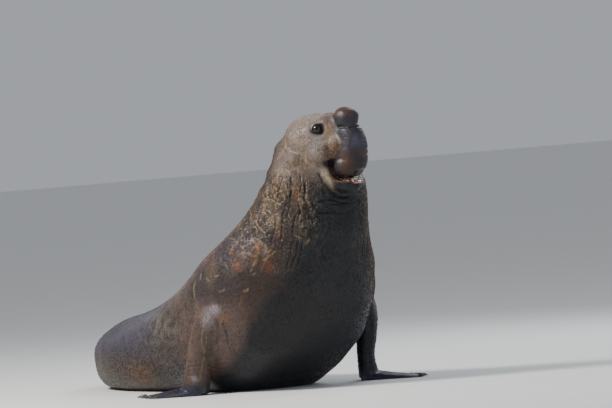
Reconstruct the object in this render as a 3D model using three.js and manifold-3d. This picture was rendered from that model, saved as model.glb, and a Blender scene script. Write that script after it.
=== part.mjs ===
// A southern elephant seal bull, life size, reared up on its fore flippers with its mouth half open.
// Millimetres. +X is the way the chest faces, +Y is the animal's left and +Z is up.
// The body lies on the floor behind the chest and bends to the animal's left towards the tail.
import * as THREE from "three";
import { mergeVertices } from "three/addons/utils/BufferGeometryUtils.js";
import Module from "manifold-3d";

const wasm = await Module();
wasm.setup();

// Driving dimensions
const EYE_HEIGHT = 2000; // of the point midway between the eyes
const HEAD_FORWARD = 570; // of that point, ahead of the line between the wrists
const HEAD_LEFT = 170;
const HEAD_TURN = 23; // degrees that the head is turned to the animal's left
const EYE_RADIUS = 41;
const GAP = 0.3; // between two nodes that touch
const SUNK = 30; // how far a hand or foot reaches below the floor before it is cut flat

// The whole trunk from tail to crown. Each row is one cross-section: its centre, the way it faces in
// degrees from +X, its half width to either side, its half height towards the back and towards the
// belly, and how square the belly half is (2 is an ellipse).
const TRUNK = [
  { name: "tail tip", at: [-3040, 595, 78], facing: -36, side: 34, back: 16, belly: 18, square: 2 },
  { name: "tail", at: [-2955, 530, 98], facing: -34, side: 66, back: 34, belly: 42, square: 2 },
  { name: "tail root", at: [-2840, 445, 135], facing: -31, side: 140, back: 82, belly: 120, square: 2.2 },
  { name: "pelvis", at: [-2610, 295, 200], facing: -26, side: 300, back: 175, belly: 220, square: 2.4 },
  { name: "rump", at: [-2290, 130, 240], facing: -16, side: 445, back: 235, belly: 290, square: 3 },
  { name: "loin", at: [-1880, 30, 290], facing: -5, side: 550, back: 305, belly: 335, square: 3 },
  { name: "waist", at: [-1430, 0, 320], facing: 0, side: 600, back: 362, belly: 370, square: 3 },
  { name: "flank", at: [-950, 0, 430], facing: 0, side: 630, back: 385, belly: 500, square: 2.7 },
  { name: "midriff", at: [-500, 0, 590], facing: 0, side: 660, back: 420, belly: 700, square: 3.2 },
  { name: "chest", at: [-90, 10, 850], facing: 0, side: 680, back: 400, belly: 755, square: 3 },
  { name: "shoulders", at: [200, 60, 1150], facing: 4, side: 610, back: 325, belly: 590, square: 2.4 },
  { name: "neck base", at: [350, 90, 1400], facing: 10, side: 475, back: 330, belly: 460, square: 2.1 },
  { name: "neck", at: [378, 140, 1580], facing: 15, side: 470, back: 345, belly: 340, square: 2 },
  { name: "throat", at: [350, 136, 1730], facing: 19, side: 384, back: 300, belly: 240, square: 2 },
  { name: "nape", at: [345, 95, 1860], facing: 23, side: 240, back: 218, belly: 200, square: 2 },
  { name: "crown", at: [400, 110, 1960], facing: 23, side: 120, back: 110, belly: 110, square: 2 },
];
const TRUNK_AROUND = 36;
const TRUNK_RINGS_PER_SPAN = 2;
const BACK_SQUARE = 2.1;
const TRUNK_ENDS = { tail: 20, crown: 40 }; // how far the end points stand off the end rows

// Where the trunk is parted, as places along its rows: 3.5 is halfway between rows 3 and 4.
const PARTINGS = { tail: 2.0, hips: 4.6, belly: 7.6, chest: 10.9 };

// Muscle and fat that stand out of the trunk's own sections: place, reach and height of each swelling.
const SWELLINGS = [
  { name: "right shoulder", at: [60, -560, 820], reach: 210, height: 60 },
  { name: "left shoulder", at: [80, 640, 760], reach: 230, height: 95 },
  { name: "right rump", at: [-2100, -330, 400], reach: 300, height: 25 },
  { name: "left rump", at: [-2100, 400, 400], reach: 300, height: 25 },
];

// The fore flippers, from the shoulder inside the chest to the heel of the hand. facing is the way
// that the hand points, in degrees from +X, and each row gives a half width and a half thickness.
const ARMS = {
  right: {
    facing: -128,
    rows: [
      { name: "shoulder", at: [60, -420, 830], width: 190, thick: 140 },
      { name: "upper arm", at: [0, -520, 710], width: 175, thick: 145 },
      { name: "elbow", at: [-80, -600, 560], width: 150, thick: 130 },
      { name: "forearm", at: [-165, -640, 370], width: 122, thick: 116 },
      { name: "wrist", at: [-215, -668, 190], width: 116, thick: 104 },
      { name: "heel", at: [-240, -690, 30], width: 130, thick: 110 },
    ],
  },
  left: {
    facing: 54,
    rows: [
      { name: "shoulder", at: [60, 420, 830], width: 190, thick: 140 },
      { name: "upper arm", at: [60, 615, 720], width: 165, thick: 130 },
      { name: "elbow", at: [50, 722, 560], width: 140, thick: 110 },
      { name: "forearm", at: [25, 748, 370], width: 115, thick: 88 },
      { name: "wrist", at: [0, 748, 190], width: 108, thick: 70 },
      { name: "heel", at: [0, 765, 30], width: 120, thick: 80 },
    ],
  },
};
const ARM_AROUND = 20;
const ARM_RINGS_PER_SPAN = 3;
const ARM_SQUARE = 2.2;
const ARM_TOP = 60; // how far the rounded top stands off the first row
const HAND = { length: 500, rootWidth: 235, tipWidth: 290, rootThick: 105, tipThick: 20, digits: 5 };
const HAND_ROOT_BACK = 60; // how far the hand's root reaches back under the wrist
// Claws start a little behind the fingertips, fan outwards and droop, and the second is the largest.
const FORE_CLAW = {
  length: 46, radius: 9, back: 22, height: 17, fan: 0.35, droop: 0.5, largest: 1, fall: 0.1,
};
// The longest finger is this share of the way across the hand, and the others fall away on both sides.
const FINGERS = { longest: 0.3, outerFall: 0.34, innerFall: 0.12, outerPower: 1.2, notch: 0.1 };
// A flat blade: how it is divided, and how its thickness and its ridges run.
const BLADE = {
  lengthSteps: 7, stepsPerDigit: 4, edge: 0.25, ridge: 0.28, thinnest: 6, widen: 0.8, thin: 0.75,
};

// Hind flippers: two fans laid flat behind the tail root. Their outer toes are the longest.
const HIND_SPREAD = 9; // degrees that each is turned out from the line of the tail
const HIND_AWAY = 130; // of each ankle from the tail's own line
const HIND_FOOT = { length: 430, rootWidth: 170, tipWidth: 390, rootThick: 90, tipThick: 16, digits: 5 };
const TOES = { middle: 0.28, notch: 0.1 }; // how much shorter the middle toes and the gaps between are
// The hind leg from hip to heel: how far back from the tail root, how high, and its half sizes.
const HIND_LEG = [
  { name: "hip", back: -150, out: 0.8, width: 120, thick: 110 },
  { name: "knee", back: 20, out: 1, height: 130, width: 105, thick: 95 },
  { name: "ankle", back: 170, out: 1, height: 78, width: 88, thick: 66 },
  { name: "heel", back: 280, out: 1, height: 38, width: 92, thick: 40 },
];
const HIND_PLACE = 2.4; // where the hind legs leave the trunk, as a place along its rows

// Head parts, from the point midway between the eyes: x ahead, y left, z up.
const SKULL = [
  { name: "brain case", at: [-118, 0, -80], radii: [250, 236, 216] },
  { name: "forehead", at: [35, 0, -5], radii: [160, 145, 138] },
  { name: "muzzle", at: [85, 0, -150], radii: [190, 152, 160] },
  { name: "gullet", at: [-70, 0, -320], radii: [235, 215, 200] },
];
const SKULL_PAIRS = [
  { name: "cheek", at: [-20, 115, -190], radii: [160, 108, 145] },
  { name: "brow", at: [15, 113, 58], radii: [88, 42, 30] },
  { name: "whisker pad", at: [105, 92, -170], radii: [100, 74, 88] },
];
const EAR = { at: [-150, 240, -40], radius: 12 };
const EYE = { at: [10, 142, 9], gaze: [0.6, 0.76, 0.22] };
const LID = { tube: 13, forward: 0.4 };
const NOSE_ROWS = [
  { name: "top", at: [188, 0, 166], deep: 40, wide: 42 },
  { name: "bump top", at: [188, 0, 145], deep: 80, wide: 82 },
  { name: "bump", at: [190, 0, 96], deep: 103, wide: 104 },
  { name: "bump foot", at: [188, 0, 42], deep: 97, wide: 99 },
  { name: "crease", at: [189, 0, 17], deep: 82, wide: 86 },
  { name: "under the crease", at: [197, 0, -8], deep: 100, wide: 101 },
  { name: "bridge", at: [229, 0, -65], deep: 112, wide: 111 },
  { name: "swelling", at: [235, 0, -150], deep: 121, wide: 121 },
  { name: "lobes", at: [215, 0, -245], deep: 126, wide: 128 },
  { name: "overhang", at: [203, 0, -315], deep: 119, wide: 122 },
  { name: "lip", at: [206, 0, -352], deep: 86, wide: 94 },
];
const NOSE_LOBE = { at: [190, 68, -288], radii: [100, 74, 92] };
const NOSTRIL = { at: [272, 46, -352], radii: [40, 15, 30] };
const JAW_ROWS = [
  { name: "hinge", at: [-70, 0, -335], wide: 190, up: 100, down: 130 },
  { name: "cheek", at: [60, 0, -372], wide: 190, up: 110, down: 128 },
  { name: "lip", at: [160, 0, -428], wide: 160, up: 60, down: 82 },
  { name: "chin", at: [240, 0, -452], wide: 106, up: 46, down: 52 },
];
// The open mouth seen from the side, from its corner along the upper lip and back along the lower.
const MOUTH = {
  corner: [74, -258],
  upper: [[104, -240], [140, -232], [200, -236], [300, -290], [430, -330]],
  lower: [[430, -425], [330, -424], [250, -413], [190, -405], [148, -392], [118, -355], [93, -302]],
  width: 460,
};
const JAW_HINGE = { at: [40, 0, -262], normal: [0.94, 0, -0.34] };
const JAW_TOP = { at: [74, 0, -259], normal: [0, 0, -1] };
const TONGUE = { at: [120, 0, -385], radii: [130, 72, 34], droop: 10 };
const LOWER_TEETH = { count: 4, ahead: 246, step: -36, apart: 44, widen: 13, radius: 7, length: 15 };
const CANINE = { radius: 12, length: 27 };
const GUM = -0.06; // slope of the gum line
const TOOTH_RISE = [0.15, 0, 1];
const TOOTH_BEND = [-0.6, 0, 0];
// Teeth and claws: how they are divided, how far they bend for their length and how they taper.
const SPIKE = { rings: 4, sides: 6, bend: 0.35, taper: 0.85 };
const GUM_HEIGHT = -417;

// Colours of the bull's own parts.
const FINISHES = {
  hide: { color: 0x5a4a3c, roughness: 0.62, metalness: 0 },
  face: { color: 0x86776a, roughness: 0.6, metalness: 0 },
  nose: { color: 0x3b3734, roughness: 0.5, metalness: 0 },
  flipper: { color: 0x54453a, roughness: 0.58, metalness: 0 },
  eye: { color: 0x0b0a0a, roughness: 0.08, metalness: 0 },
  tongue: { color: 0xa2605a, roughness: 0.4, metalness: 0 },
};

const UP = new THREE.Vector3(0, 0, 1);
const { degToRad: radians, lerp } = THREE.MathUtils;

// The head's own frame in the body's.
const headFrame = new THREE.Matrix4()
  .makeRotationZ(radians(HEAD_TURN))
  .setPosition(HEAD_FORWARD, HEAD_LEFT, EYE_HEIGHT);

// Twice the signed volume is positive when the faces point out.
function facesOut(positions, triangles) {
  const a = new THREE.Vector3();
  const b = new THREE.Vector3();
  const c = new THREE.Vector3();
  let total = 0;
  for (let i = 0; i < triangles.length; i += 3) {
    a.fromArray(positions, triangles[i] * 3);
    b.fromArray(positions, triangles[i + 1] * 3);
    c.fromArray(positions, triangles[i + 2] * 3);
    total += a.dot(b.cross(c));
  }
  return total > 0;
}

// A manifold solid of a closed three.js geometry.
function solidOf(geometry) {
  const bare = geometry.clone();
  bare.deleteAttribute("normal");
  bare.deleteAttribute("uv");
  const merged = mergeVertices(bare, 1e-3);
  const vertProperties = new Float32Array(merged.attributes.position.array);
  const triVerts = new Uint32Array(merged.index.array);
  if (!facesOut(vertProperties, triVerts)) {
    for (let i = 0; i < triVerts.length; i += 3) {
      [triVerts[i + 1], triVerts[i + 2]] = [triVerts[i + 2], triVerts[i + 1]];
    }
  }
  return new wasm.Manifold(new wasm.Mesh({ numProp: 3, vertProperties, triVerts }));
}

function geometryOf(solid) {
  const mesh = solid.getMesh();
  const geometry = new THREE.BufferGeometry();
  geometry.setAttribute("position", new THREE.BufferAttribute(mesh.vertProperties, 3));
  geometry.setIndex(new THREE.BufferAttribute(mesh.triVerts, 1));
  geometry.computeVertexNormals();
  return geometry;
}

function joined(solids) {
  return solids.reduce((sum, solid) => sum.add(solid));
}

function largestPiece(solid) {
  return solid.decompose().reduce((best, piece) => (piece.volume() > best.volume() ? piece : best));
}

// One closed section: two superellipse halves, each with its own height and squareness.
function section(centre, sideways, upwards, size, powers, count) {
  const points = [];
  for (let i = 0; i < count; i++) {
    const angle = (2 * Math.PI * i) / count;
    const c = Math.cos(angle);
    const s = Math.sin(angle);
    const power = s > 0 ? powers.up : powers.down;
    const across = Math.sign(c) * Math.abs(c) ** (2 / power) * size.side;
    const high = Math.sign(s) * Math.abs(s) ** (2 / power) * (s > 0 ? size.up : size.down);
    points.push(centre.clone().addScaledVector(sideways, across).addScaledVector(upwards, high));
  }
  return points;
}

function evenly(power) {
  return { up: power, down: power };
}

// A closed skin over rings of points, with a point at each end.
function skinned(rings, firstPole, lastPole) {
  const count = rings[0].length;
  const positions = [...rings.flat(), firstPole, lastPole].flatMap((p) => p.toArray());
  const first = rings.length * count;
  const triangles = [];
  rings.slice(1).forEach((_, r) => {
    for (let i = 0; i < count; i++) {
      const j = (i + 1) % count;
      const [a, b, c, d] = [r * count + i, r * count + j, (r + 1) * count + j, (r + 1) * count + i];
      triangles.push(a, b, c, a, c, d);
    }
  });
  const end = (rings.length - 1) * count;
  for (let i = 0; i < count; i++) {
    const j = (i + 1) % count;
    triangles.push(first, j, i, first + 1, end + i, end + j);
  }
  const geometry = new THREE.BufferGeometry();
  geometry.setAttribute("position", new THREE.Float32BufferAttribute(positions, 3));
  geometry.setIndex(triangles);
  return geometry;
}

// Smooth curves through the rows' centres and sizes, both read by the same share of the way along.
function throughRows(rows, sizes) {
  const centres = new THREE.CatmullRomCurve3(rows.map((row) => new THREE.Vector3(...row.at)));
  const measures = new THREE.CatmullRomCurve3(rows.map((row) => new THREE.Vector3(...sizes(row))));
  return (share) => ({
    centre: centres.getPoint(share),
    along: centres.getTangent(share),
    measure: measures.getPoint(share),
  });
}

function swollen(point, centre, grow) {
  const outwards = point.clone().sub(centre).normalize();
  let rise = grow;
  for (const swelling of SWELLINGS) {
    const distance = point.distanceTo(new THREE.Vector3(...swelling.at));
    rise += swelling.height * Math.exp(-((distance / swelling.reach) ** 2));
  }
  return point.clone().addScaledVector(outwards, rise);
}

const trunkAt = throughRows(TRUNK, (row) => [row.side, row.back, row.belly]);
const trunkStyle = throughRows(TRUNK, (row) => [row.facing, row.square, 0]);

function trunkFrame(share) {
  const { centre, along, measure } = trunkAt(share);
  const style = trunkStyle(share).measure;
  const facing = radians(style.x);
  const sideways = new THREE.Vector3(-Math.sin(facing), Math.cos(facing), 0);
  const backwards = along.clone().cross(sideways).normalize();
  return { centre, along, sideways, backwards, measure, square: style.y };
}

function trunk(grow) {
  const rings = [];
  const steps = (TRUNK.length - 1) * TRUNK_RINGS_PER_SPAN;
  for (let i = 0; i <= steps; i++) {
    const { centre, sideways, backwards, measure, square } = trunkFrame(i / steps);
    const size = { side: measure.x, up: measure.y, down: measure.z };
    const powers = { up: BACK_SQUARE, down: square };
    const ring = section(centre, sideways, backwards, size, powers, TRUNK_AROUND);
    rings.push(ring.map((point) => swollen(point, centre, grow)));
  }
  const tail = trunkFrame(0);
  const crown = trunkFrame(1);
  const tailPole = tail.centre.clone().addScaledVector(tail.along, -TRUNK_ENDS.tail - grow);
  const crownPole = crown.centre.clone().addScaledVector(crown.along, TRUNK_ENDS.crown + grow);
  return solidOf(skinned(rings, tailPole, crownPole));
}

// Everything on the far side of a plane, as a solid big enough for the whole animal.
function beyond(point, normal) {
  const span = 9000;
  const box = new THREE.BoxGeometry(span, span, span).translate(0, 0, span / 2);
  box.applyQuaternion(new THREE.Quaternion().setFromUnitVectors(UP, normal.clone().normalize()));
  return solidOf(box.translate(...point.toArray()));
}

const aboveFloor = beyond(new THREE.Vector3(0, 0, 0), UP);

function ellipsoid(at, radii, grow, across = 24, tall = 16) {
  const [a, b, c] = radii.map((radius) => radius + grow);
  const geometry = new THREE.SphereGeometry(1, across, tall).rotateX(Math.PI / 2);
  return geometry.scale(a, b, c).translate(...at);
}

function mirrored(at) {
  return [at[0], -at[1], at[2]];
}

function headSolid(geometry) {
  return solidOf(geometry.applyMatrix4(headFrame));
}

function headEllipsoid(part, grow, across, tall) {
  return headSolid(ellipsoid(part.at, part.radii, grow, across, tall));
}

function bothSides(part) {
  return [part, { ...part, at: mirrored(part.at) }];
}

// The skull's flesh with the lower jaw, before the mouth is opened.
function headCore(grow) {
  const big = SKULL.map((part) => headEllipsoid(part, grow, 20, 12));
  const small = SKULL_PAIRS.flatMap(bothSides).map((part) => headEllipsoid(part, grow, 14, 9));
  return joined([...big, ...small, jaw(grow)]);
}

const LEFTWARDS = new THREE.Vector3(0, 1, 0);

// A row of sections down or along the head, such as the nose and the jaw.
function headRows(rows, sizes, grow, rings, count, power, rounding) {
  const at = throughRows(rows, sizes);
  const made = [];
  for (let i = 0; i <= rings; i++) {
    const { centre, along, measure } = at(i / rings);
    const upwards = along.clone().cross(LEFTWARDS).normalize();
    const size = { side: measure.x + grow, up: measure.y + grow, down: measure.z + grow };
    made.push(section(centre, LEFTWARDS, upwards, size, evenly(power), count));
  }
  const start = at(0);
  const end = at(1);
  const firstPole = start.centre.clone().addScaledVector(start.along, -rounding.first - grow);
  const lastPole = end.centre.clone().addScaledVector(end.along, rounding.last + grow);
  return headSolid(skinned(made, firstPole, lastPole));
}

function nose(grow) {
  const sizes = (row) => [row.wide, row.deep, row.deep];
  const rounding = { first: 8, last: 24 };
  const column = headRows(NOSE_ROWS, sizes, grow, (NOSE_ROWS.length - 1) * 2, 18, 2.1, rounding);
  const lobes = bothSides(NOSE_LOBE).map((lobe) => headEllipsoid(lobe, grow, 14, 8));
  return joined([column, ...lobes]);
}

function nostrils() {
  return joined(bothSides(NOSTRIL).map((hole) => headEllipsoid(hole, 0, 10, 8)));
}

function earHoles() {
  const hole = { at: EAR.at, radii: [EAR.radius, EAR.radius, EAR.radius] };
  return joined(bothSides(hole).map((ear) => headEllipsoid(ear, 0, 10, 8)));
}

function jaw(grow) {
  const sizes = (row) => [row.wide, row.up, row.down];
  return headRows(JAW_ROWS, sizes, grow, 6, 22, 2.3, { first: 40, last: 36 });
}

// The open mouth as a solid to cut away, kept smaller by shrink on every side.
function mouth(shrink) {
  const points = [MOUTH.corner, ...MOUTH.upper, ...MOUTH.lower].map(([x, z]) => new THREE.Vector2(x, z));
  const middle = points.reduce((sum, p) => sum.clone().add(p)).divideScalar(points.length);
  const inset = points.map((p) => p.clone().addScaledVector(p.clone().sub(middle).normalize(), -shrink));
  const shape = new THREE.Shape(inset);
  const geometry = new THREE.ExtrudeGeometry(shape, { depth: MOUTH.width, bevelEnabled: false, steps: 1 });
  return headSolid(geometry.translate(0, 0, -MOUTH.width / 2).rotateX(Math.PI / 2));
}

function tongue(grow) {
  const geometry = ellipsoid([0, 0, 0], TONGUE.radii, grow, 20, 12);
  geometry.rotateY(radians(TONGUE.droop)).translate(...TONGUE.at);
  return headSolid(geometry);
}

// A tooth or claw: a cone that bends towards its tip.
function spike(from, direction, bendTo, length, radius) {
  const rings = [];
  for (let i = 0; i < SPIKE.rings; i++) {
    const share = i / SPIKE.rings;
    const centre = from.clone().addScaledVector(direction, length * share);
    centre.addScaledVector(bendTo, length * SPIKE.bend * share ** 2);
    const along = direction.clone().addScaledVector(bendTo, 2 * SPIKE.bend * share).normalize();
    const sideways = along.clone().cross(bendTo).normalize();
    const upwards = sideways.clone().cross(along).normalize();
    const half = radius * (1 - SPIKE.taper * share ** 1.5);
    const size = { side: half, up: half, down: half };
    rings.push(section(centre, sideways, upwards, size, evenly(2), SPIKE.sides));
  }
  const tip = from.clone().addScaledVector(direction, length);
  tip.addScaledVector(bendTo, length * SPIKE.bend);
  return skinned(rings, from.clone().addScaledVector(direction, -radius), tip);
}

function lowerTeeth() {
  const rising = new THREE.Vector3(...TOOTH_RISE).normalize();
  const back = new THREE.Vector3(...TOOTH_BEND);
  const made = [];
  for (let i = 0; i < LOWER_TEETH.count; i++) {
    const { length, radius } = i === 0 ? CANINE : LOWER_TEETH;
    for (const side of [-1, 1]) {
      const x = LOWER_TEETH.ahead + LOWER_TEETH.step * i;
      const y = side * (LOWER_TEETH.apart + LOWER_TEETH.widen * i);
      const from = new THREE.Vector3(x, y, GUM_HEIGHT + GUM * (x - LOWER_TEETH.ahead));
      made.push(headSolid(spike(from, rising, back, length, radius)));
    }
  }
  return made;
}

function gazeQuaternion(side) {
  const gaze = new THREE.Vector3(EYE.gaze[0], side * EYE.gaze[1], EYE.gaze[2]).normalize();
  return new THREE.Quaternion().setFromUnitVectors(UP, gaze);
}

function eyePlace(side) {
  return [EYE.at[0], side * EYE.at[1], EYE.at[2]];
}

function eyeball(side, grow) {
  return headSolid(ellipsoid(eyePlace(side), [EYE_RADIUS, EYE_RADIUS, EYE_RADIUS], grow, 16, 10));
}

// A rim of lid round the eye, set forward on the ball.
function lids(side) {
  const ring = new THREE.TorusGeometry(EYE_RADIUS, LID.tube, 6, 18);
  ring.translate(0, 0, EYE_RADIUS * LID.forward).applyQuaternion(gazeQuaternion(side));
  return headSolid(ring.translate(...eyePlace(side)));
}

// A flat flipper blade on the floor: a top and a bottom sheet with digits as ridges in the top.
function blade(root, facing, shape, reach, grow) {
  const forward = new THREE.Vector3(Math.cos(facing), Math.sin(facing), 0);
  const left = UP.clone().cross(forward);
  const { lengthSteps } = BLADE;
  const widthSteps = shape.digits * BLADE.stepsPerDigit;
  const sheets = [[], []];
  for (let i = 0; i <= lengthSteps; i++) {
    for (let j = 0; j <= widthSteps; j++) {
      const along = i / lengthSteps;
      const across = j / widthSteps;
      const digit = Math.abs(Math.sin(Math.PI * shape.digits * across));
      const rounded = BLADE.edge + (1 - BLADE.edge) * Math.max(0, Math.sin(Math.PI * across)) ** 0.45;
      const halfWidth = lerp(shape.rootWidth, shape.tipWidth, along ** BLADE.widen) / 2;
      const length = shape.length * along * reach(across, digit, along);
      const ridge = 1 - BLADE.ridge * (1 - digit ** 0.7);
      const full = lerp(shape.rootThick, shape.tipThick, along ** BLADE.thin);
      const top = Math.max(BLADE.thinnest, full * rounded * lerp(1, ridge, along));
      const spot = root.clone().addScaledVector(forward, length + (i > 0 ? grow : -grow));
      spot.addScaledVector(left, (halfWidth + grow) * (2 * across - 1));
      sheets[0].push(spot.clone().setZ(top + grow));
      sheets[1].push(spot.clone().setZ(-SUNK));
    }
  }
  return solidOf(slab(sheets, lengthSteps, widthSteps));
}

// Two sheets of points, one over the other, closed along their edges.
function slab([top, bottom], rows, columns) {
  const row = columns + 1;
  const under = top.length;
  const triangles = [];
  const quad = (a, b, c, d) => triangles.push(a, b, c, a, c, d);
  for (let i = 0; i < rows; i++) {
    for (let j = 0; j < columns; j++) {
      const [a, b, c, d] = [i * row + j, i * row + j + 1, (i + 1) * row + j + 1, (i + 1) * row + j];
      quad(a, d, c, b);
      quad(under + a, under + b, under + c, under + d);
    }
  }
  for (let i = 0; i < rows; i++) {
    const [a, b] = [i * row, (i + 1) * row];
    quad(a, under + a, under + b, b);
    quad(b + columns, under + b + columns, under + a + columns, a + columns);
  }
  for (let j = 0; j < columns; j++) {
    const last = rows * row + j;
    quad(j + 1, under + j + 1, under + j, j);
    quad(last, under + last, under + last + 1, last + 1);
  }
  const geometry = new THREE.BufferGeometry();
  const positions = [...top, ...bottom].flatMap((p) => p.toArray());
  geometry.setAttribute("position", new THREE.Float32BufferAttribute(positions, 3));
  geometry.setIndex(triangles);
  return geometry;
}

// Fingers: the second is the longest, and the rest fall away to the hand's outer edge.
function fingerReach(across, digit, along) {
  const outer = FINGERS.outerFall * Math.max(0, across - FINGERS.longest) ** FINGERS.outerPower;
  const inner = FINGERS.innerFall * Math.max(0, FINGERS.longest - across);
  return (1 - outer - inner) * (1 - FINGERS.notch * (1 - digit) * along ** 3);
}

// Toes: the two outer ones are the longest, with deep notches between them all.
function toeReach(across, digit, along) {
  const middle = Math.sin(Math.PI * across) ** 1.5;
  return 1 - (TOES.middle * middle + TOES.notch * (1 - digit)) * along ** 2;
}

function arm(rows, facing, grow) {
  const at = throughRows(rows, (row) => [row.width, row.thick, 0]);
  const sideways = new THREE.Vector3(-Math.sin(facing), Math.cos(facing), 0);
  const rings = [];
  const steps = (rows.length - 1) * ARM_RINGS_PER_SPAN;
  for (let i = 0; i <= steps; i++) {
    const { centre, along, measure } = at(i / steps);
    const outwards = along.clone().cross(sideways).normalize();
    const size = { side: measure.x + grow, up: measure.y + grow, down: measure.y + grow };
    rings.push(section(centre, sideways, outwards, size, evenly(ARM_SQUARE), ARM_AROUND));
  }
  const start = at(0);
  const end = at(1);
  const firstPole = start.centre.clone().addScaledVector(start.along, -ARM_TOP);
  const lastPole = end.centre.clone().addScaledVector(end.along, SUNK);
  return solidOf(skinned(rings, firstPole, lastPole));
}

// Five claws on the fingertips, each at the middle of its digit.
function handClaws(root, facing) {
  const forward = new THREE.Vector3(Math.cos(facing), Math.sin(facing), 0);
  const left = UP.clone().cross(forward);
  const made = [];
  for (let digit = 0; digit < HAND.digits; digit++) {
    const across = (digit + 0.5) / HAND.digits;
    const reach = HAND.length * fingerReach(across, 1, 1);
    const size = 1 - FORE_CLAW.fall * Math.abs(digit - FORE_CLAW.largest);
    const from = root.clone().addScaledVector(forward, reach - FORE_CLAW.back);
    from.addScaledVector(left, (HAND.tipWidth / 2) * (2 * across - 1)).setZ(FORE_CLAW.height);
    const spread = forward.clone().addScaledVector(left, FORE_CLAW.fan * (across - 0.5)).normalize();
    const down = UP.clone().multiplyScalar(-FORE_CLAW.droop);
    made.push(solidOf(spike(from, spread, down, FORE_CLAW.length * size, FORE_CLAW.radius * size)));
  }
  return made;
}

function handRoot(rows, facing) {
  const heel = new THREE.Vector3(...rows.at(-1).at).setZ(0);
  const forward = new THREE.Vector3(Math.cos(facing), Math.sin(facing), 0);
  return heel.addScaledVector(forward, -HAND_ROOT_BACK);
}

// The hind flippers' ankles follow the trunk's own line at the tail root.
function hindLine() {
  const { centre, along } = trunkFrame(HIND_PLACE / (TRUNK.length - 1));
  const backwards = along.clone().setZ(0).normalize().negate();
  return { centre, backwards };
}

function hindFlipper(side, grow) {
  const { centre, backwards } = hindLine();
  const outwards = UP.clone().cross(backwards).multiplyScalar(-side);
  const turn = new THREE.Quaternion().setFromAxisAngle(UP, radians(-side * HIND_SPREAD));
  const pointing = backwards.clone().applyQuaternion(turn);
  const rows = HIND_LEG.map(({ back, out, height, width, thick }) => {
    const way = back < 0 ? backwards : pointing;
    const at = centre.clone().addScaledVector(outwards, HIND_AWAY * out).addScaledVector(way, back);
    return { at: (height === undefined ? at : at.setZ(height)).toArray(), width, thick };
  });
  const facing = Math.atan2(pointing.y, pointing.x);
  const root = new THREE.Vector3(...rows.at(-2).at).setZ(0);
  return joined([arm(rows, facing, grow), blade(root, facing, HIND_FOOT, toeReach, grow)]);
}

// Each piece of the trunk lies between two partings, and neighbours keep the gap between them.
function trunkPiece(solid, from, to) {
  let piece = solid;
  for (const [place, sign] of [[from, 1], [to, -1]]) {
    if (place !== null) {
      const { centre, along } = trunkFrame(place / (TRUNK.length - 1));
      const normal = along.clone().multiplyScalar(sign);
      piece = piece.intersect(beyond(centre.clone().addScaledVector(normal, GAP / 2), normal));
    }
  }
  return piece;
}

function named(name, solid, finish) {
  const material = new THREE.MeshStandardMaterial(FINISHES[finish]);
  const mesh = new THREE.Mesh(geometryOf(largestPiece(solid)), material);
  mesh.name = name;
  return mesh;
}

// The plane that parts head from neck runs from the nape down to the throat under the chin.
const NECK_PARTING = { at: [-150, 0, -350], normal: [0.52, 0, 0.85] };

// Everything beyond a plane given in the head's frame, with the plane moved along by an offset.
function beyondInHead({ at, normal }, offset) {
  const direction = new THREE.Vector3(...normal).normalize().transformDirection(headFrame);
  const point = new THREE.Vector3(...at).applyMatrix4(headFrame);
  return beyond(point.addScaledVector(direction, offset), direction);
}

// The lower jaw's share of the head's flesh.
function jawRegion(offset) {
  return beyondInHead(JAW_HINGE, offset).intersect(beyondInHead(JAW_TOP, offset));
}

const seal = new THREE.Group();
seal.name = "elephant_seal";

const grownTrunk = trunk(GAP);
const eyeSockets = joined([-1, 1].map((side) => eyeball(side, GAP)));
const eyeRims = joined([-1, 1].map(lids));
const solidFlesh = trunk(0).intersect(aboveFloor).add(headCore(0)).add(eyeRims);
const flesh = solidFlesh.subtract(mouth(0)).subtract(eyeSockets).subtract(earHoles());
const grownFlesh = grownTrunk.add(headCore(GAP)).subtract(mouth(GAP));

// Head
const skullAndJaw = flesh.intersect(beyondInHead(NECK_PARTING, GAP / 2));
const jawWithTeeth = skullAndJaw.intersect(jawRegion(GAP / 2)).add(joined(lowerTeeth()));
const head = skullAndJaw.subtract(jawRegion(-GAP / 2));
seal.add(named("head", head, "face"));
seal.add(named("nose", nose(0).subtract(grownFlesh).subtract(nostrils()), "nose"));
seal.add(named("lower_jaw", jawWithTeeth.subtract(nose(GAP)), "face"));
seal.add(named("tongue", tongue(0).subtract(grownFlesh).subtract(nose(GAP)), "tongue"));
seal.add(named("eye_right", eyeball(-1, 0), "eye"));
seal.add(named("eye_left", eyeball(1, 0), "eye"));

// Trunk
const body = flesh.subtract(beyondInHead(NECK_PARTING, -GAP / 2));
seal.add(named("neck", trunkPiece(body, PARTINGS.chest, null), "hide"));
seal.add(named("chest", trunkPiece(body, PARTINGS.belly, PARTINGS.chest), "hide"));
seal.add(named("belly", trunkPiece(body, PARTINGS.hips, PARTINGS.belly), "hide"));
seal.add(named("hips", trunkPiece(body, PARTINGS.tail, PARTINGS.hips), "hide"));
seal.add(named("tail", trunkPiece(body, null, PARTINGS.tail), "hide"));

// Fore flippers, each parted at the wrist
for (const [side, { rows, facing: degrees }] of Object.entries(ARMS)) {
  const facing = radians(degrees);
  const root = handRoot(rows, facing);
  const hand = blade(root, facing, HAND, fingerReach, 0);
  const limb = joined([arm(rows, facing, 0), hand, ...handClaws(root, facing)])
    .intersect(aboveFloor)
    .subtract(grownTrunk);
  const wrist = new THREE.Vector3(...rows.at(-2).at);
  const down = UP.clone().negate();
  const above = beyond(wrist.clone().addScaledVector(UP, GAP / 2), UP);
  const below = beyond(wrist.clone().addScaledVector(down, GAP / 2), down);
  seal.add(named("arm_" + side, limb.intersect(above), "flipper"));
  seal.add(named("hand_" + side, limb.intersect(below), "flipper"));
}

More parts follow.
